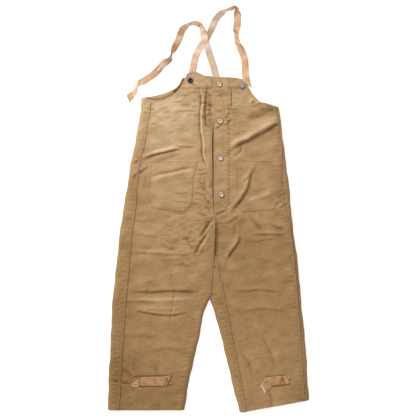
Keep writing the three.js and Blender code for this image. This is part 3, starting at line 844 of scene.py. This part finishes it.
patches = {
    "placket": {
        "loop": [(20, 501), (78, 498), (78, 22), (64, -6), (20, -29)], "lift": 1.5, "bulge": 0.0, "pale": 0.0,
        "node": "fly_placket",
    },
    "bib_band_right": {
        "loop": [(-106, 458), (14, 458), (14, 503.5), (-15, 506.5), (-47.5, 519.5), (-69.5, 519.5),
            (-80.5, 512)],
        "lift": 1.4, "bulge": 0.0, "pale": 0.02, "node": "bib_band_right",
    },
    "bib_band_left": {
        "loop": [(79, 458), (152, 458), (148.5, 468), (145, 489), (101, 496.8), (79, 498.5)],
        "lift": 1.4, "bulge": 0.0, "pale": 0.0, "node": "bib_band_left",
    },
    "pocket_right": {
        "loop": [(-223.4, 184), (-39.1, 184), (-55, 125), (-62.7, 15), (-94.6, -12.9), (-216.6, 3),
            (-237.5, 39.9), (-229.9, 110.2)],
        "lift": 1.9, "bulge": 2.2, "pale": 0.035, "node": "pocket_right",
    },
    "pocket_left": {
        "loop": [(96.9, 184), (275.5, 172), (277.4, 58.9), (248.9, -3.8), (123.5, -13.3), (106, 8)],
        "lift": 1.9, "bulge": 2.4, "pale": 0.01, "node": "pocket_left",
    },
}
patchCorner = 4


def rounded(loop, radius):
    # the outline with its corners turned on short arcs
    loop = np.array(loop, float)
    out = []
    for i in range(len(loop)):
        a, b, c = loop[i - 1], loop[i], loop[(i + 1) % len(loop)]
        before = b + (a - b) / np.linalg.norm(a - b) * min(radius, np.linalg.norm(a - b) * 0.4)
        after = b + (c - b) / np.linalg.norm(c - b) * min(radius, np.linalg.norm(c - b) * 0.4)
        for t in np.linspace(0, 1, 5):
            out.append((1 - t) ** 2 * before + 2 * t * (1 - t) * b + t**2 * after)
    out = np.array(out)
    closed = np.vstack([out, out[:1]])
    full = []
    for a, b in zip(closed[:-1], closed[1:]):
        count = max(int(np.linalg.norm(b - a) / 5), 1)
        full += [a + (b - a) * k / count for k in range(count)]
    return np.array(full)


def patchTop(key, x, y):
    spec = patches[key]
    loop = spec["outline"]
    far = along(x, y, np.vstack([loop, loop[:1]]))[0]
    z, shade = frontTop(x, y)
    rise = 0.75 + (spec["lift"] - 0.75) * smooth(far / 3.5)
    full = spec["bulge"] * smooth(far / 55)
    return z + rise + full, shade, far


def slotLoop(cx, cy, length, width):
    # a buttonhole's opening: a slim lens
    t = np.linspace(0, 2 * math.pi, 20, endpoint=False)
    return np.stack([cx + length / 2 * np.cos(t), cy + width / 2 * np.sin(t)], 1)


for key, spec in patches.items():
    spec["outline"] = rounded(spec["loop"], patchCorner)
    slots = [slotLoop(bx + 1.5, by, 20, 7.2) for bx, by in buttons["fly"]] if key == "placket" else []
    verts, faces = cutSheet(spec["outline"], 3.6, rings=(0.9, 2.2, 4.5), slots=slots)
    x, y = verts.T
    z, shade, far = patchTop(key, x, y)
    tone = fadeAndLightAt(x, y) + shadeGain * shade + spec["pale"] + 0.05 * bell(far, 1.6)
    # painted shadow round the buttons and along the tabs' edges
    tone += shadowRoundHardware(x, y) - 0.07 * bell(far - 4, 2.2)
    piece = newMesh(key + "_cloth", np.stack([x, y, z], 1), faces, cordedCotton, verts,
        {"tone": tone, "soil": soilAt(x, y)})
    thicken(piece, 0.7)
    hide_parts(spec["node"])
    declare(spec["outline"])
    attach(piece, "trousers")
print("patches sewn on")

# Felled seams, hems and the layers inside


def ribbon(name, centre, normals, width, thickness, material, tones, columns=4, lens=None, slant=0):
    # a strip of cloth along a line: centre and the strip's upward direction at each place along it
    centre, normals = np.array(centre, float), np.array(normals, float)
    ahead = np.gradient(centre, axis=0)
    ahead /= np.linalg.norm(ahead, axis=1)[:, None]
    across = np.cross(ahead, normals)
    across /= np.linalg.norm(across, axis=1)[:, None]
    run = runAt(centre)
    verts, uv, faces, tone = [], [], [], []
    us = np.linspace(-0.5, 0.5, columns + 1)
    extra = {}
    for i in range(len(centre)):
        for u in us:
            # a slanted end is cut back more the nearer a column is to the left edge
            at = run[i] * (1 - slant * (u + 0.5) / run[-1])
            middle = np.array([np.interp(at, run, centre[:, k]) for k in range(3)])
            outward = np.array([np.interp(at, run, across[:, k]) for k in range(3)])
            verts.append(middle + outward * u * width)
            uv.append((u * width, at))
            tone.append(tones(u, run[i], run[-1]))
    wide = columns + 1
    half = columns // 2
    if lens is not None:
        middle, length, gape = lens
        for i in range(len(centre)):
            t = (run[i] - middle) / (length / 2)
            if abs(t) < 1:
                part = gape / 2 * math.sqrt(1 - t * t)
                left, right = i * wide + half, len(verts)
                verts.append(centre[i] + across[i] * part)
                uv.append((part, run[i]))
                tone.append(tone[left] - 0.2)
                verts[left] = centre[i] - across[i] * part
                extra[left] = right
    for i in range(len(centre) - 1):
        for k in range(columns):
            a, b = i * wide + k, i * wide + k + 1
            d, c = a + wide, b + wide
            if k == half:
                a, d = extra.get(a, a), extra.get(d, d)
            faces.append((a, d, c, b))
    piece = newMesh(name, verts, faces, material, uv, {"tone": tone, "soil": np.zeros(len(verts))})
    return thicken(piece, thickness, 0.0)


def seamTones(line, darker, ripple=0.0):
    # the cloth's tone along a seam, a little darker, with painted shade at its two edges and a painted ripple
    # of shade and highlight where it is puckered
    lengths = runAt(line)
    fadeAndLight = fadeAndLightAt(*line.T)

    def tone(u, run, whole):
        here = float(np.interp(run, lengths, fadeAndLight)) - darker - 0.06 * abs(2 * u) ** 4
        return here + ripple * math.sin(2 * math.pi * run / relief["puckerPitch"])
    return tone


def layStrip(name, line, z, width, tones):
    # a felled strip of the cloth along a seam
    x, y = line.T
    up = np.tile([0, 0, 1.0], (len(x), 1))
    strip = ribbon(name, np.stack([x, y, z], 1), up, width, 1.1, cordedCotton, tones)
    return strip


underSeam = 0.85  # the middle of a felled strip on the outside of the back
for side in ("right", "left"):
    for which in ("", "Inner"):
        line = seamLines[side + which]
        x, y = line.T
        z, shade = frontTop(x, y)
        if side + which == "rightInner":
            z = np.full(len(x), underSeam - 0.35)  # this leg lies with its inseam turned under
        ripple = 0.25 if z[0] > 2 else 0
        z = z + 0.35 + ripple * np.sin(2 * math.pi * runAt(line) / relief["puckerPitch"])
        name = ("inseam_" if which else "side_seam_") + side
        tones = seamTones(line, 0.03, 0.03)
        seam = layStrip(name + "_felled", line, z, felledSeams["width"], tones)
        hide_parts(name, name + "_lower")
        bendAtKnee(seam)

crotchLine = curveThrough([(x + 4, y) for x, y in cut["crotchSeam"][:-1]] + [(5.5, -332)], 5)
crotchHeight = frontTop(*crotchLine.T)[0] + 0.4
backLine = sides["backMiddle"]
for name, line, z, rests in (
    ("crotch_seam_front", crotchLine, crotchHeight, "front_left"),
    ("centre_seam_back", backLine, np.full(len(backLine), underSeam), "back_left"),
):
    seam = layStrip(name, line, z, felledSeams["middleWidth"], seamTones(line, 0.04))
    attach(seam, "trousers")

hem = {"depth": 25, "gap": 1.9, "cloth": 1.1, "sideRoom": 3.2, "rows": 7, "columns": 64}
hemEnds = {"right": [(-381.9, -763.8), (-93.1, -763.8)], "left": [(381.9, -725.8), (119.7, -773.3)]}
for side in ("right", "left"):
    outer, inner = (np.array(p) for p in hemEnds[side])
    ahead = (inner - outer) / np.linalg.norm(inner - outer)
    up = np.array([-ahead[1], ahead[0]]) * (1 if ahead[0] > 0 else -1)
    wide = np.linalg.norm(inner - outer)
    rows = np.linspace(1.0, hem["depth"], hem["rows"])
    across = np.linspace(hem["sideRoom"], wide - hem["sideRoom"], hem["columns"])
    verts, uv = [], []
    for row in rows:
        top, low = [], []
        for s in across:
            p = outer + ahead * s + up * row
            z = float(frontTop(np.array([p[0]]), np.array([p[1]]))[0][0]) - cut["cloth"] - hem["gap"] + 0.5
            edge = min(s, wide - s)
            bottom = float(backUnder(np.array([edge]))[0]) + cut["cloth"] + hem["gap"] + 0.3
            z = max(z, bottom)
            top.append((p[0], p[1], z))
            low.append((p[0], p[1], min(bottom, z)))
        ring = top + low[::-1]
        verts += ring
        uv += [(i * wide / hem["columns"], row) for i in range(len(ring))]
    count = 2 * len(across)
    faces = []
    for i in range(len(rows) - 1):
        for k in range(count):
            a, b = i * count + k, i * count + (k + 1) % count
            faces.append((a, b, b + count, a + count) if side == "left" else (a, a + count, b + count, b))
    turn = newMesh("hem_" + side + "_turned_up", verts, faces, insideCotton, uv,
        {"tone": np.full(len(verts), 0.5), "soil": np.zeros(len(verts))})
    thicken(turn, hem["cloth"], 0.0)
    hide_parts("hem_" + side)
    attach(turn, shin[side])

innerLayers = {
    "back_facing": {
        "loop": [(-140, 448), (154, 448), (142, 486), (19, 498), (-97, 498), (-118, 465)], "height": 7.6,
        "tone": 0.5, "thick": 1.3, "slot": "inside_cotton", "rests": "back_right",
    },
    # the underlap's tone, lower than the facing's, is painted shade: it is seen only in the narrow gap under
    # the fly's edge
    "fly_underlap": {
        "loop": [(-22, 492), (70, 490), (70, 4), (-22, -20)], "height": 12.6, "tone": 0.3, "thick": 1.4,
        "slot": "inside_cotton", "rests": "back_facing",
    },
}
for key, spec in innerLayers.items():
    outline = rounded(spec["loop"], 6)
    verts, faces = cutSheet(outline, 7)
    x, y = verts.T
    z = spec["height"] + 0.5 * waves(x, y, 60, 21)
    tone = spec["tone"] + 0.06 * waves(x, y, 30, 22)
    piece = newMesh(key + "_cloth", np.stack([x, y, z], 1), faces, insideCotton, verts,
        {"tone": tone, "soil": 0 * x})
    thicken(piece, spec["thick"])
    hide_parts(key)
    declare(outline)
    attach(piece, "trousers")
print("seams, hems and inner layers made")

# Straps: the line that the middle of each strap follows (x, y, least height), and its lean about that line
# in degrees, where 90 stands on its edge

straps = {
    "width": 27.5,
    "thickness": 1.8,
    "right": {
        "rear": [(40, 452, 3.4, 0), (28.5, 505, 4.6, 6), (17, 547, 4.5, 10), (6, 581, 7, 10),
            (-4, 612, 11, 5), (-14, 642, 12, 0), (-19, 669, 6, -26), (-25, 690, 2, -50),
            (-37, 702.5, 1, -64), (-58, 706, 1, -68), (-77, 700, 1, -62), (-92, 690, 1, -40),
            (-98, 684, 1, -28)],
        "front": [(-104, 673, 1, -14), (-114, 646, 1, 4), (-127, 619, 1, -30), (-138, 597, 1, -66),
            (-144.5, 577, 1, -72), (-155, 563, 1, -30), (-170, 555, 1, -4), (-184, 541, 1, 0),
            (-194, 528, 1, 0), (-215, 509, 1, 8), (-241, 492, 1, 20), (-264, 477, 1, 40),
            (-275, 462, 1, 66), (-280, 447, 1, 56), (-292, 434, 1, 20), (-311, 418, 1, 4)],
        "hole": 188,
        "slant": 8,
        "kinks": {"rear": (262, 300), "front": (112, 286)},
        "wearAndPaintedLight": None,
    },
    "left": {
        "rear": [(-67, 456, 3.4, 0), (-62.7, 513, 4.6, 8), (-57, 547, 3, 5), (-49.4, 581, 1, 0),
            (-37, 608, 1, 0), (-15, 640, 1, 4), (5.7, 673, 1, 30), (22.8, 714, 1, 10), (40, 737, 1, 30),
            (66.5, 754, 1, 64), (90, 763, 1, 78), (101, 767, 1, 80)],
        "front": [(109, 759, 1, 70), (110.5, 748, 1, 36), (109.8, 711, 1, 6), (107, 688, 1, 24),
            (105.5, 664, 1, 44), (107, 644, 3, 62), (115, 621, 5, 34), (127, 598, 8, 20),
            (136.5, 570, 13, 14), (138.5, 543, 19, 12), (139.5, 509, 26, 8), (144, 482, 28, 4),
            (150, 455, 27.2, 0)],
        "hole": 116,
        "slant": 34,
        "kinks": {"rear": (374,), "front": (2, 106, 158)},
        "wearAndPaintedLight": 338,
    },
}


def strapCourse(side):
    spec = straps[side]
    rear, front = np.array(spec["rear"], float), np.array(spec["front"], float)
    whole = curveThrough(np.vstack([rear, front]), 2.6)
    gap = np.hypot(whole[:, 0] - rear[-1, 0], whole[:, 1] - rear[-1, 1])
    joint = int(np.argmin(gap))
    count = np.arange(len(whole))
    lean = np.radians(whole[:, 3] + 9 * np.sin(count / 4.1 + len(side)) * smooth((count - 40) / 20))
    centre = whole[:, :3].copy()
    stand = straps["width"] / 2 * np.abs(np.sin(lean)) + straps["thickness"] / 2 * np.cos(lean)
    centre[:, 2] = np.maximum(whole[:, 2], 0.5) + stand
    ahead = np.gradient(centre, axis=0)
    ahead /= np.linalg.norm(ahead, axis=1)[:, None]
    level = np.cross([0, 0, 1.0], ahead)
    level /= np.linalg.norm(level, axis=1)[:, None]
    upright = np.cross(ahead, level)
    normals = upright * np.cos(lean)[:, None] - level * np.sin(lean)[:, None]
    return centre, normals, joint


def strapTones(middle, cutEnd, kinks, wearAndPaintedLight):
    def tone(u, run, whole):
        shade = middle + 0.05 * math.sin(run / 21) + 0.03 * math.sin(run / 8.3 + 1) + 0.08 * abs(2 * u) ** 8
        # painted shade across the strap at each kink
        for kink in kinks:
            shade -= 0.3 * bell(run - kink + 14 * u, 5)
        # a paler patch across the strap at this run, paler towards one edge
        if wearAndPaintedLight is not None:
            shade += 0.45 * bell(run - wearAndPaintedLight, 15) * (0.6 + u)
        return shade + (0.45 if cutEnd and whole - run < 2.2 else 0)
    return tone


for side in ("right", "left"):
    centre, normals, joint = strapCourse(side)
    parts = {"rear": slice(0, joint + 1), "front": slice(joint, None)}
    for part, span in parts.items():
        line, up = centre[span], normals[span]
        hole = (straps[side]["hole"], 24, 3.6) if part == "front" else None
        rear = part == "rear"
        wearAndPaintedLight = straps[side]["wearAndPaintedLight"] if rear else None
        tones = strapTones(0.80 if rear else 0.54, not rear, straps[side]["kinks"][part], wearAndPaintedLight)
        strap = ribbon("webbing_" + part + "_" + side, line, up, straps["width"], straps["thickness"],
            webbing, tones, columns=8, lens=hole, slant=0 if rear else straps[side]["slant"])
        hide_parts("strap_" + part + "_" + side)
        if rear:
            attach(strap, "trousers")
        else:
            ahead = line[8] - line[0]
            ahead[2] = 0
            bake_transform(strap)
print("straps made")

# Ankle tabs: a strip sewn at one end, its free end turned under on a slant and cut white

tabs = {
    "right": {
        "strip": [(-139.5, -629), (-158, -672), (-263, -671), (-259, -637.5), (-176, -636.5)],
        "flap": [(-258.5, -637.5), (-262.5, -671), (-264, -674.5), (-290, -672.5), (-290.5, -664)],
        "cut": [(-264, -674.5), (-290, -672.5)],
        "sewn": (-0.1499, -0.654), "away": (-1, 0), "lift": 1.2,
    },
    "left": {
        "strip": [(292, -631), (308, -661), (286, -667), (241, -671), (219, -638.5)],
        "flap": [(218.5, -639), (240.5, -671), (240, -682), (213.9, -699), (200.6, -670)],
        "cut": [(213.9, -699), (200.6, -670)],
        "sewn": (0.2881, -0.649), "away": (-0.99692, -0.07846), "lift": 1.2,
    },
}
for side, spec in tabs.items():
    for part in ("strip", "flap"):
        outline = rounded(spec[part], 1.5)
        verts, faces = cutSheet(outline, 4)
        x, y = verts.T
        z = np.full(len(x), 21.9) + 0.25 * waves(x, y, 40, 31)
        if part == "flap":
            fold = along(x, y, [spec["strip"][2], spec["strip"][3]])[0]
            z += 0.5 - 1.2 * smooth(fold / 30)
        ax, ay = spec["away"]
        run = (x - spec["sewn"][0] / mm) * ax + (y - spec["sewn"][1] / mm) * ay
        over = -(x - spec["sewn"][0] / mm) * ay + (y - spec["sewn"][1] / mm) * ax
        if part == "strip":
            flare = np.clip(-run - 2, 0, 12)
            z += flare * 0.2
            pleat = bell(run - 12 - over * 0.5, 4) + bell(run - 3 + over * 0.4, 3)
            z -= 0.5 * pleat
        else:
            run, over = over, run
            pleat = 0 * x
        closed = np.vstack([outline, outline[:1]])
        far = along(x, y, closed)[0]
        tone = 0.5 + 0.06 * waves(x, y, 25, 33) + 0.1 * bell(far, 1.5)
        if part == "flap":
            tone += 0.7 * bell(along(x, y, spec["cut"])[0], 2.4) - 0.02
        # painted shade along the fold between strip and flap, and in the pleats
        tone -= 0.2 * bell(along(x, y, [spec["strip"][2], spec["strip"][3]])[0], 3) + 0.2 * pleat
        tab = newMesh("tab_" + part + "_" + side, np.stack([x, y, z], 1), faces,
            tabWebbing, np.stack([over, run], 1), {"tone": tone, "soil": 0 * x})
        thicken(tab, 1.3)
        if part == "strip":
            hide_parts("ankle_tab_" + side)
        declare(outline)
        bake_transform(tab)
print("ankle tabs made")

# Buttons: pressed caps on tacks

capShape = {
    # radius and height of the pressed cap's section, from its middle out over the rolled rim
    "ring": [(0, 24.6), (1.2, 24.5), (1.9, 23.9), (2.6, 23.0), (3.3, 23.2), (4.2, 24.8), (5.6, 26.2),
        (7.0, 26.7), (8.3, 26.3), (9.2, 25.3), (9.4, 24.2), (9.0, 23.2), (8.0, 22.7), (4.5, 22.7),
        (4.2, 20.5), (3.6, 18.3), (0, 18.2)],
    "steps": 40,
    "leansAbove": 22.5,  # the cap leans and its shank stands
}


def capButton(name, bx, by, material, body, lean=0.0, node=None):
    ring = capShape["ring"]
    verts, faces = [], []
    count = capShape["steps"]
    for radius, height in ring:
        if radius == 0:
            verts.append((bx, by, height))
            continue
        for k in range(count):
            a = 2 * math.pi * k / count
            px, py = radius * math.cos(a), radius * math.sin(a)
            verts.append((bx + px, by + py, height + (lean * px if height > capShape["leansAbove"] else 0)))
    for i in range(len(ring) - 1):
        first = 1 + (i - 1) * count
        for k in range(count):
            after = (k + 1) % count
            if i == 0:
                faces.append((0, 1 + k, 1 + after))
            elif i == len(ring) - 2:
                faces.append((first + k, len(verts) - 1, first + after))
            else:
                faces.append((first + k, first + count + k, first + count + after, first + after))
    cap = newMesh(name, verts, faces, material)
    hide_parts(node)
    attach(cap, body)
    return cap


for i, (bx, by) in enumerate(buttons["fly"], 1):
    cap = capButton(f"fly_cap_{i}", bx, by, copperPlate, f"fly_button_{i}", node=f"fly_button_{i}_cap")
strapCaps = {"right": (bluedSteel, 0.05), "left": (zincPlate, 0.0)}
for side, (bx, by) in buttons["strap"].items():
    finish, lean = strapCaps[side]
    cap = capButton("strap_cap_" + side, bx, by, finish, "strap_button_" + side, lean,
        f"strap_button_{side}_cap")
for name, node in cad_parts.items():
    if name.endswith("_tack") or "leg_stud" in name:
        for slotIndex in range(max(len(node.material_slots), 1)):
            if node.material_slots:
                node.material_slots[slotIndex].material = darkSteel
            else:
                node.data.materials.append(darkSteel)
print("buttons made")

# Stitches, by Geometry Nodes along rows that lie on the cloth

# coarser than real stitches, so that they show
stitch = {"length": 4.6, "pitch": 7.0, "thick": 1.1}


def frontRow(points, lift=0.5):
    line = curveThrough(points, 4) if len(points) > 2 else straight(points[0], points[1], 4)
    z, _ = frontTop(line[:, 0], line[:, 1])
    return np.column_stack([line, z + lift])


def insetLoop(outline, inset):
    closed = np.vstack([outline, outline[:1]])
    inner = outline + inward(outline) * inset
    inner = inner[along(inner[:, 0], inner[:, 1], closed)[0] > inset * 0.9]
    return np.vstack([inner, inner[:1]])


def patchRow(key, inset):
    line = evenly(insetLoop(patches[key]["outline"], inset), 3)
    z, _, _ = patchTop(key, line[:, 0], line[:, 1])
    return np.column_stack([line, z + 0.35])


def beside(line, offset):
    ahead = np.gradient(np.array(line, float), axis=0)
    ahead /= np.linalg.norm(ahead, axis=1)[:, None]
    return line + np.stack([-ahead[:, 1], ahead[:, 0]], 1) * offset


rows = {"right": [], "left": []}
for side in ("right", "left"):
    for which in ("", "Inner"):
        for offset in (-3.2, 3.2):
            if side + which == "rightInner":
                continue
            line = beside(seamLines[side + which], offset)
            z, _ = frontTop(line[:, 0], line[:, 1])
            rows[side].append(np.column_stack([line, z + 1.25]))
    rows[side].append(frontRow([tuple(p) for p in (hemLines[side][0], hemLines[side][-1])]))
    for inset in (3.5, 9.5):
        rows[side].append(patchRow("pocket_" + side, inset))
    rows[side].append(patchRow("bib_band_" + side, 3.5))
    armhole = sides[side + "Armhole"][1:-1]
    rows[side].append(frontRow([tuple(p) for p in beside(armhole, -6 if side == "right" else 6)]))


def underRow(line, offset=0.0):
    line = evenly(beside(evenly(line, 6), offset), 4)
    return np.column_stack([line, np.full(len(line), 1.15)])


for offset in (-3.2, 3.2):
    rows["right"].append(underRow(seamLines["rightInner"], offset))
    rows["left"].append(underRow(sides["backMiddle"], offset))
for side in ("right", "left"):
    line = np.array([hemLines[side][2], hemLines[side][-3]])
    rows[side].append(underRow(line) + [0, 0, cut["backHeight"] - 1.2])
rows["left"].append(patchRow("placket", 3.5))
rows["right"].append(frontRow([(8, 498), (8, 300), (9, 120), (9, -15)]))
rows["right"].append(frontRow([(-26, 452), (-27, 509)], 1.8))
for offset in (3.5, 8.5):
    rows["left"].append(frontRow([(x + offset, y) for x, y in cut["crotchSeam"]]))
for k in range(3):
    rows["left"].append(frontRow([(14, -32 - 2.2 * k), (24, -32 - 2.2 * k)], 1.2))


def stitchTree(material):
    tree = bpy.data.node_groups.new("stitches along rows", "GeometryNodeTree")
    for socketName, kind in (("Geometry", "NodeSocketGeometry"), ("Pitch", "NodeSocketFloat"),
            ("Length", "NodeSocketFloat"), ("Thickness", "NodeSocketFloat")):
        tree.interface.new_socket(socketName, in_out="INPUT", socket_type=kind)
    tree.interface.new_socket("Geometry", in_out="OUTPUT", socket_type="NodeSocketGeometry")
    source = addNode(tree, "NodeGroupInput")
    curves = addNode(tree, "GeometryNodeMeshToCurve", {"Mesh": source.outputs["Geometry"]})
    spaced = addNode(tree, "GeometryNodeResampleCurve", {"Curve": curves.outputs[0],
        "Length": source.outputs["Pitch"]}, mode="LENGTH")
    bar = addNode(tree, "GeometryNodeMeshCylinder", {"Vertices": 5, "Side Segments": 3,
        "Radius": source.outputs["Thickness"], "Depth": source.outputs["Length"]}, fill_type="TRIANGLE_FAN")
    # the ends of a stitch dip into the cloth
    at = addNode(tree, "GeometryNodeInputPosition")
    parts = addNode(tree, "ShaderNodeSeparateXYZ", {"Vector": at.outputs[0]})
    squared = addNode(tree, "ShaderNodeMath", {0: parts.outputs["Z"], 1: parts.outputs["Z"]},
        operation="MULTIPLY")
    dip = addNode(tree, "ShaderNodeMath", {0: squared.outputs[0], 1: -110.0}, operation="MULTIPLY")
    drop = addNode(tree, "ShaderNodeCombineXYZ", {"Y": dip.outputs[0]})
    bowed = addNode(tree, "GeometryNodeSetPosition", {"Geometry": bar.outputs["Mesh"],
        "Offset": drop.outputs[0]})
    tangent = addNode(tree, "GeometryNodeInputTangent")
    turned = addNode(tree, "FunctionNodeAlignRotationToVector", {"Vector": tangent.outputs[0]}, axis="Z")
    upright = addNode(tree, "FunctionNodeAlignRotationToVector", {"Rotation": turned.outputs[0],
        "Vector": (0, 0, 1)}, axis="Y", pivot_axis="Z")
    placed = addNode(tree, "GeometryNodeInstanceOnPoints", {"Points": spaced.outputs[0],
        "Instance": bowed.outputs[0], "Rotation": upright.outputs[0]})
    real = addNode(tree, "GeometryNodeRealizeInstances", {"Geometry": placed.outputs[0]})
    shaded = addNode(tree, "GeometryNodeSetMaterial", {"Geometry": real.outputs[0], "Material": material})
    out = addNode(tree, "NodeGroupOutput")
    tree.links.new(shaded.outputs[0], out.inputs[0])
    return tree


stitches = stitchTree(tanThread)


def sewRows(name, lines):
    verts, edges = [], []
    for line in lines:
        first = len(verts)
        verts += [tuple(v) for v in np.array(line) * mm]
        edges += [(first + i, first + i + 1) for i in range(len(line) - 1)]
    mesh = bpy.data.meshes.new(name)
    mesh.from_pydata(verts, edges, [])
    mesh.materials.append(tanThread)
    piece = show(name, mesh)
    run = piece.modifiers.new("stitches", "NODES")
    run.node_group = stitches
    wanted = {"Pitch": stitch["pitch"] * mm, "Length": stitch["length"] * mm,
        "Thickness": stitch["thick"] / 2 * mm}
    for item in stitches.interface.items_tree:
        if item.in_out == "INPUT" and item.name in wanted:
            run[item.identifier] = wanted[item.name]
    return freeze(piece)


for side in ("right", "left"):
    sewn = sewRows("stitching_" + side, rows[side])
    bendAtKnee(sewn)

tabRows = {
    "right": [[(-145, -640, 23.4), (-144.5, -662, 22.7)], [(-148, -641, 22.6), (-148, -662, 22.6)]],
    "left": [[(288, -637, 22.6), (287, -661, 22.6)], [(284.5, -637, 22.6), (283.5, -661, 22.6)]],
}
for side, lines in tabRows.items():
    sewn = sewRows("tab_stitching_" + side, [evenly(line, 3) for line in lines])
    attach(sewn, shin[side])

print("stitched")

# Floor, light and camera

studio = {
    "world": 0.5, "key": 2.25, "keySoftness": 14, "keyFrom": (-0.55, 0.66, 0.58), "floorGlow": 0.62,
    "lens": 85, "sensor": 36, "cameraAt": (-0.0019, 0.0038, 3.745), "floorReach": 40,
}
reach = studio["floorReach"]
corners = [(-reach, -reach, 0), (reach, -reach, 0), (reach, reach, 0), (-reach, reach, 0)]
floorMesh = bpy.data.meshes.new("floor")
floorMesh.from_pydata(corners, [], [(0, 1, 2, 3)])
floor = show("floor", floorMesh)
paper, _, paperShader = startMaterial("white paper")
paperShader.inputs["Base Color"].default_value = linear("#f2f1ef")
paperShader.inputs["Roughness"].default_value = 0.95
paperShader.inputs["Specular IOR Level"].default_value = 0.0
paperShader.inputs["Emission Color"].default_value = linear("#ffffff")
paperShader.inputs["Emission Strength"].default_value = studio["floorGlow"]
floorMesh.materials.append(paper)

world = bpy.data.worlds.new("studio")
world.use_nodes = True
sky = world.node_tree.nodes["Background"]
sky.inputs["Color"].default_value = linear("#ffffff")
sky.inputs["Strength"].default_value = studio["world"]
bpy.context.scene.world = world

key = bpy.data.lights.new("key", "SUN")
key.energy = studio["key"]
key.angle = math.radians(studio["keySoftness"])
keyObject = show("key", key)
keyObject.rotation_euler = Vector(studio["keyFrom"]).to_track_quat("Z", "Y").to_euler()

lens = bpy.data.cameras.new("camera")
lens.lens = studio["lens"]
lens.sensor_width = studio["sensor"]
camera = show("camera", lens)
camera.location = studio["cameraAt"]
bpy.context.scene.camera = camera
bpy.context.scene.view_settings.view_transform = "Standard"

print("scene ready")
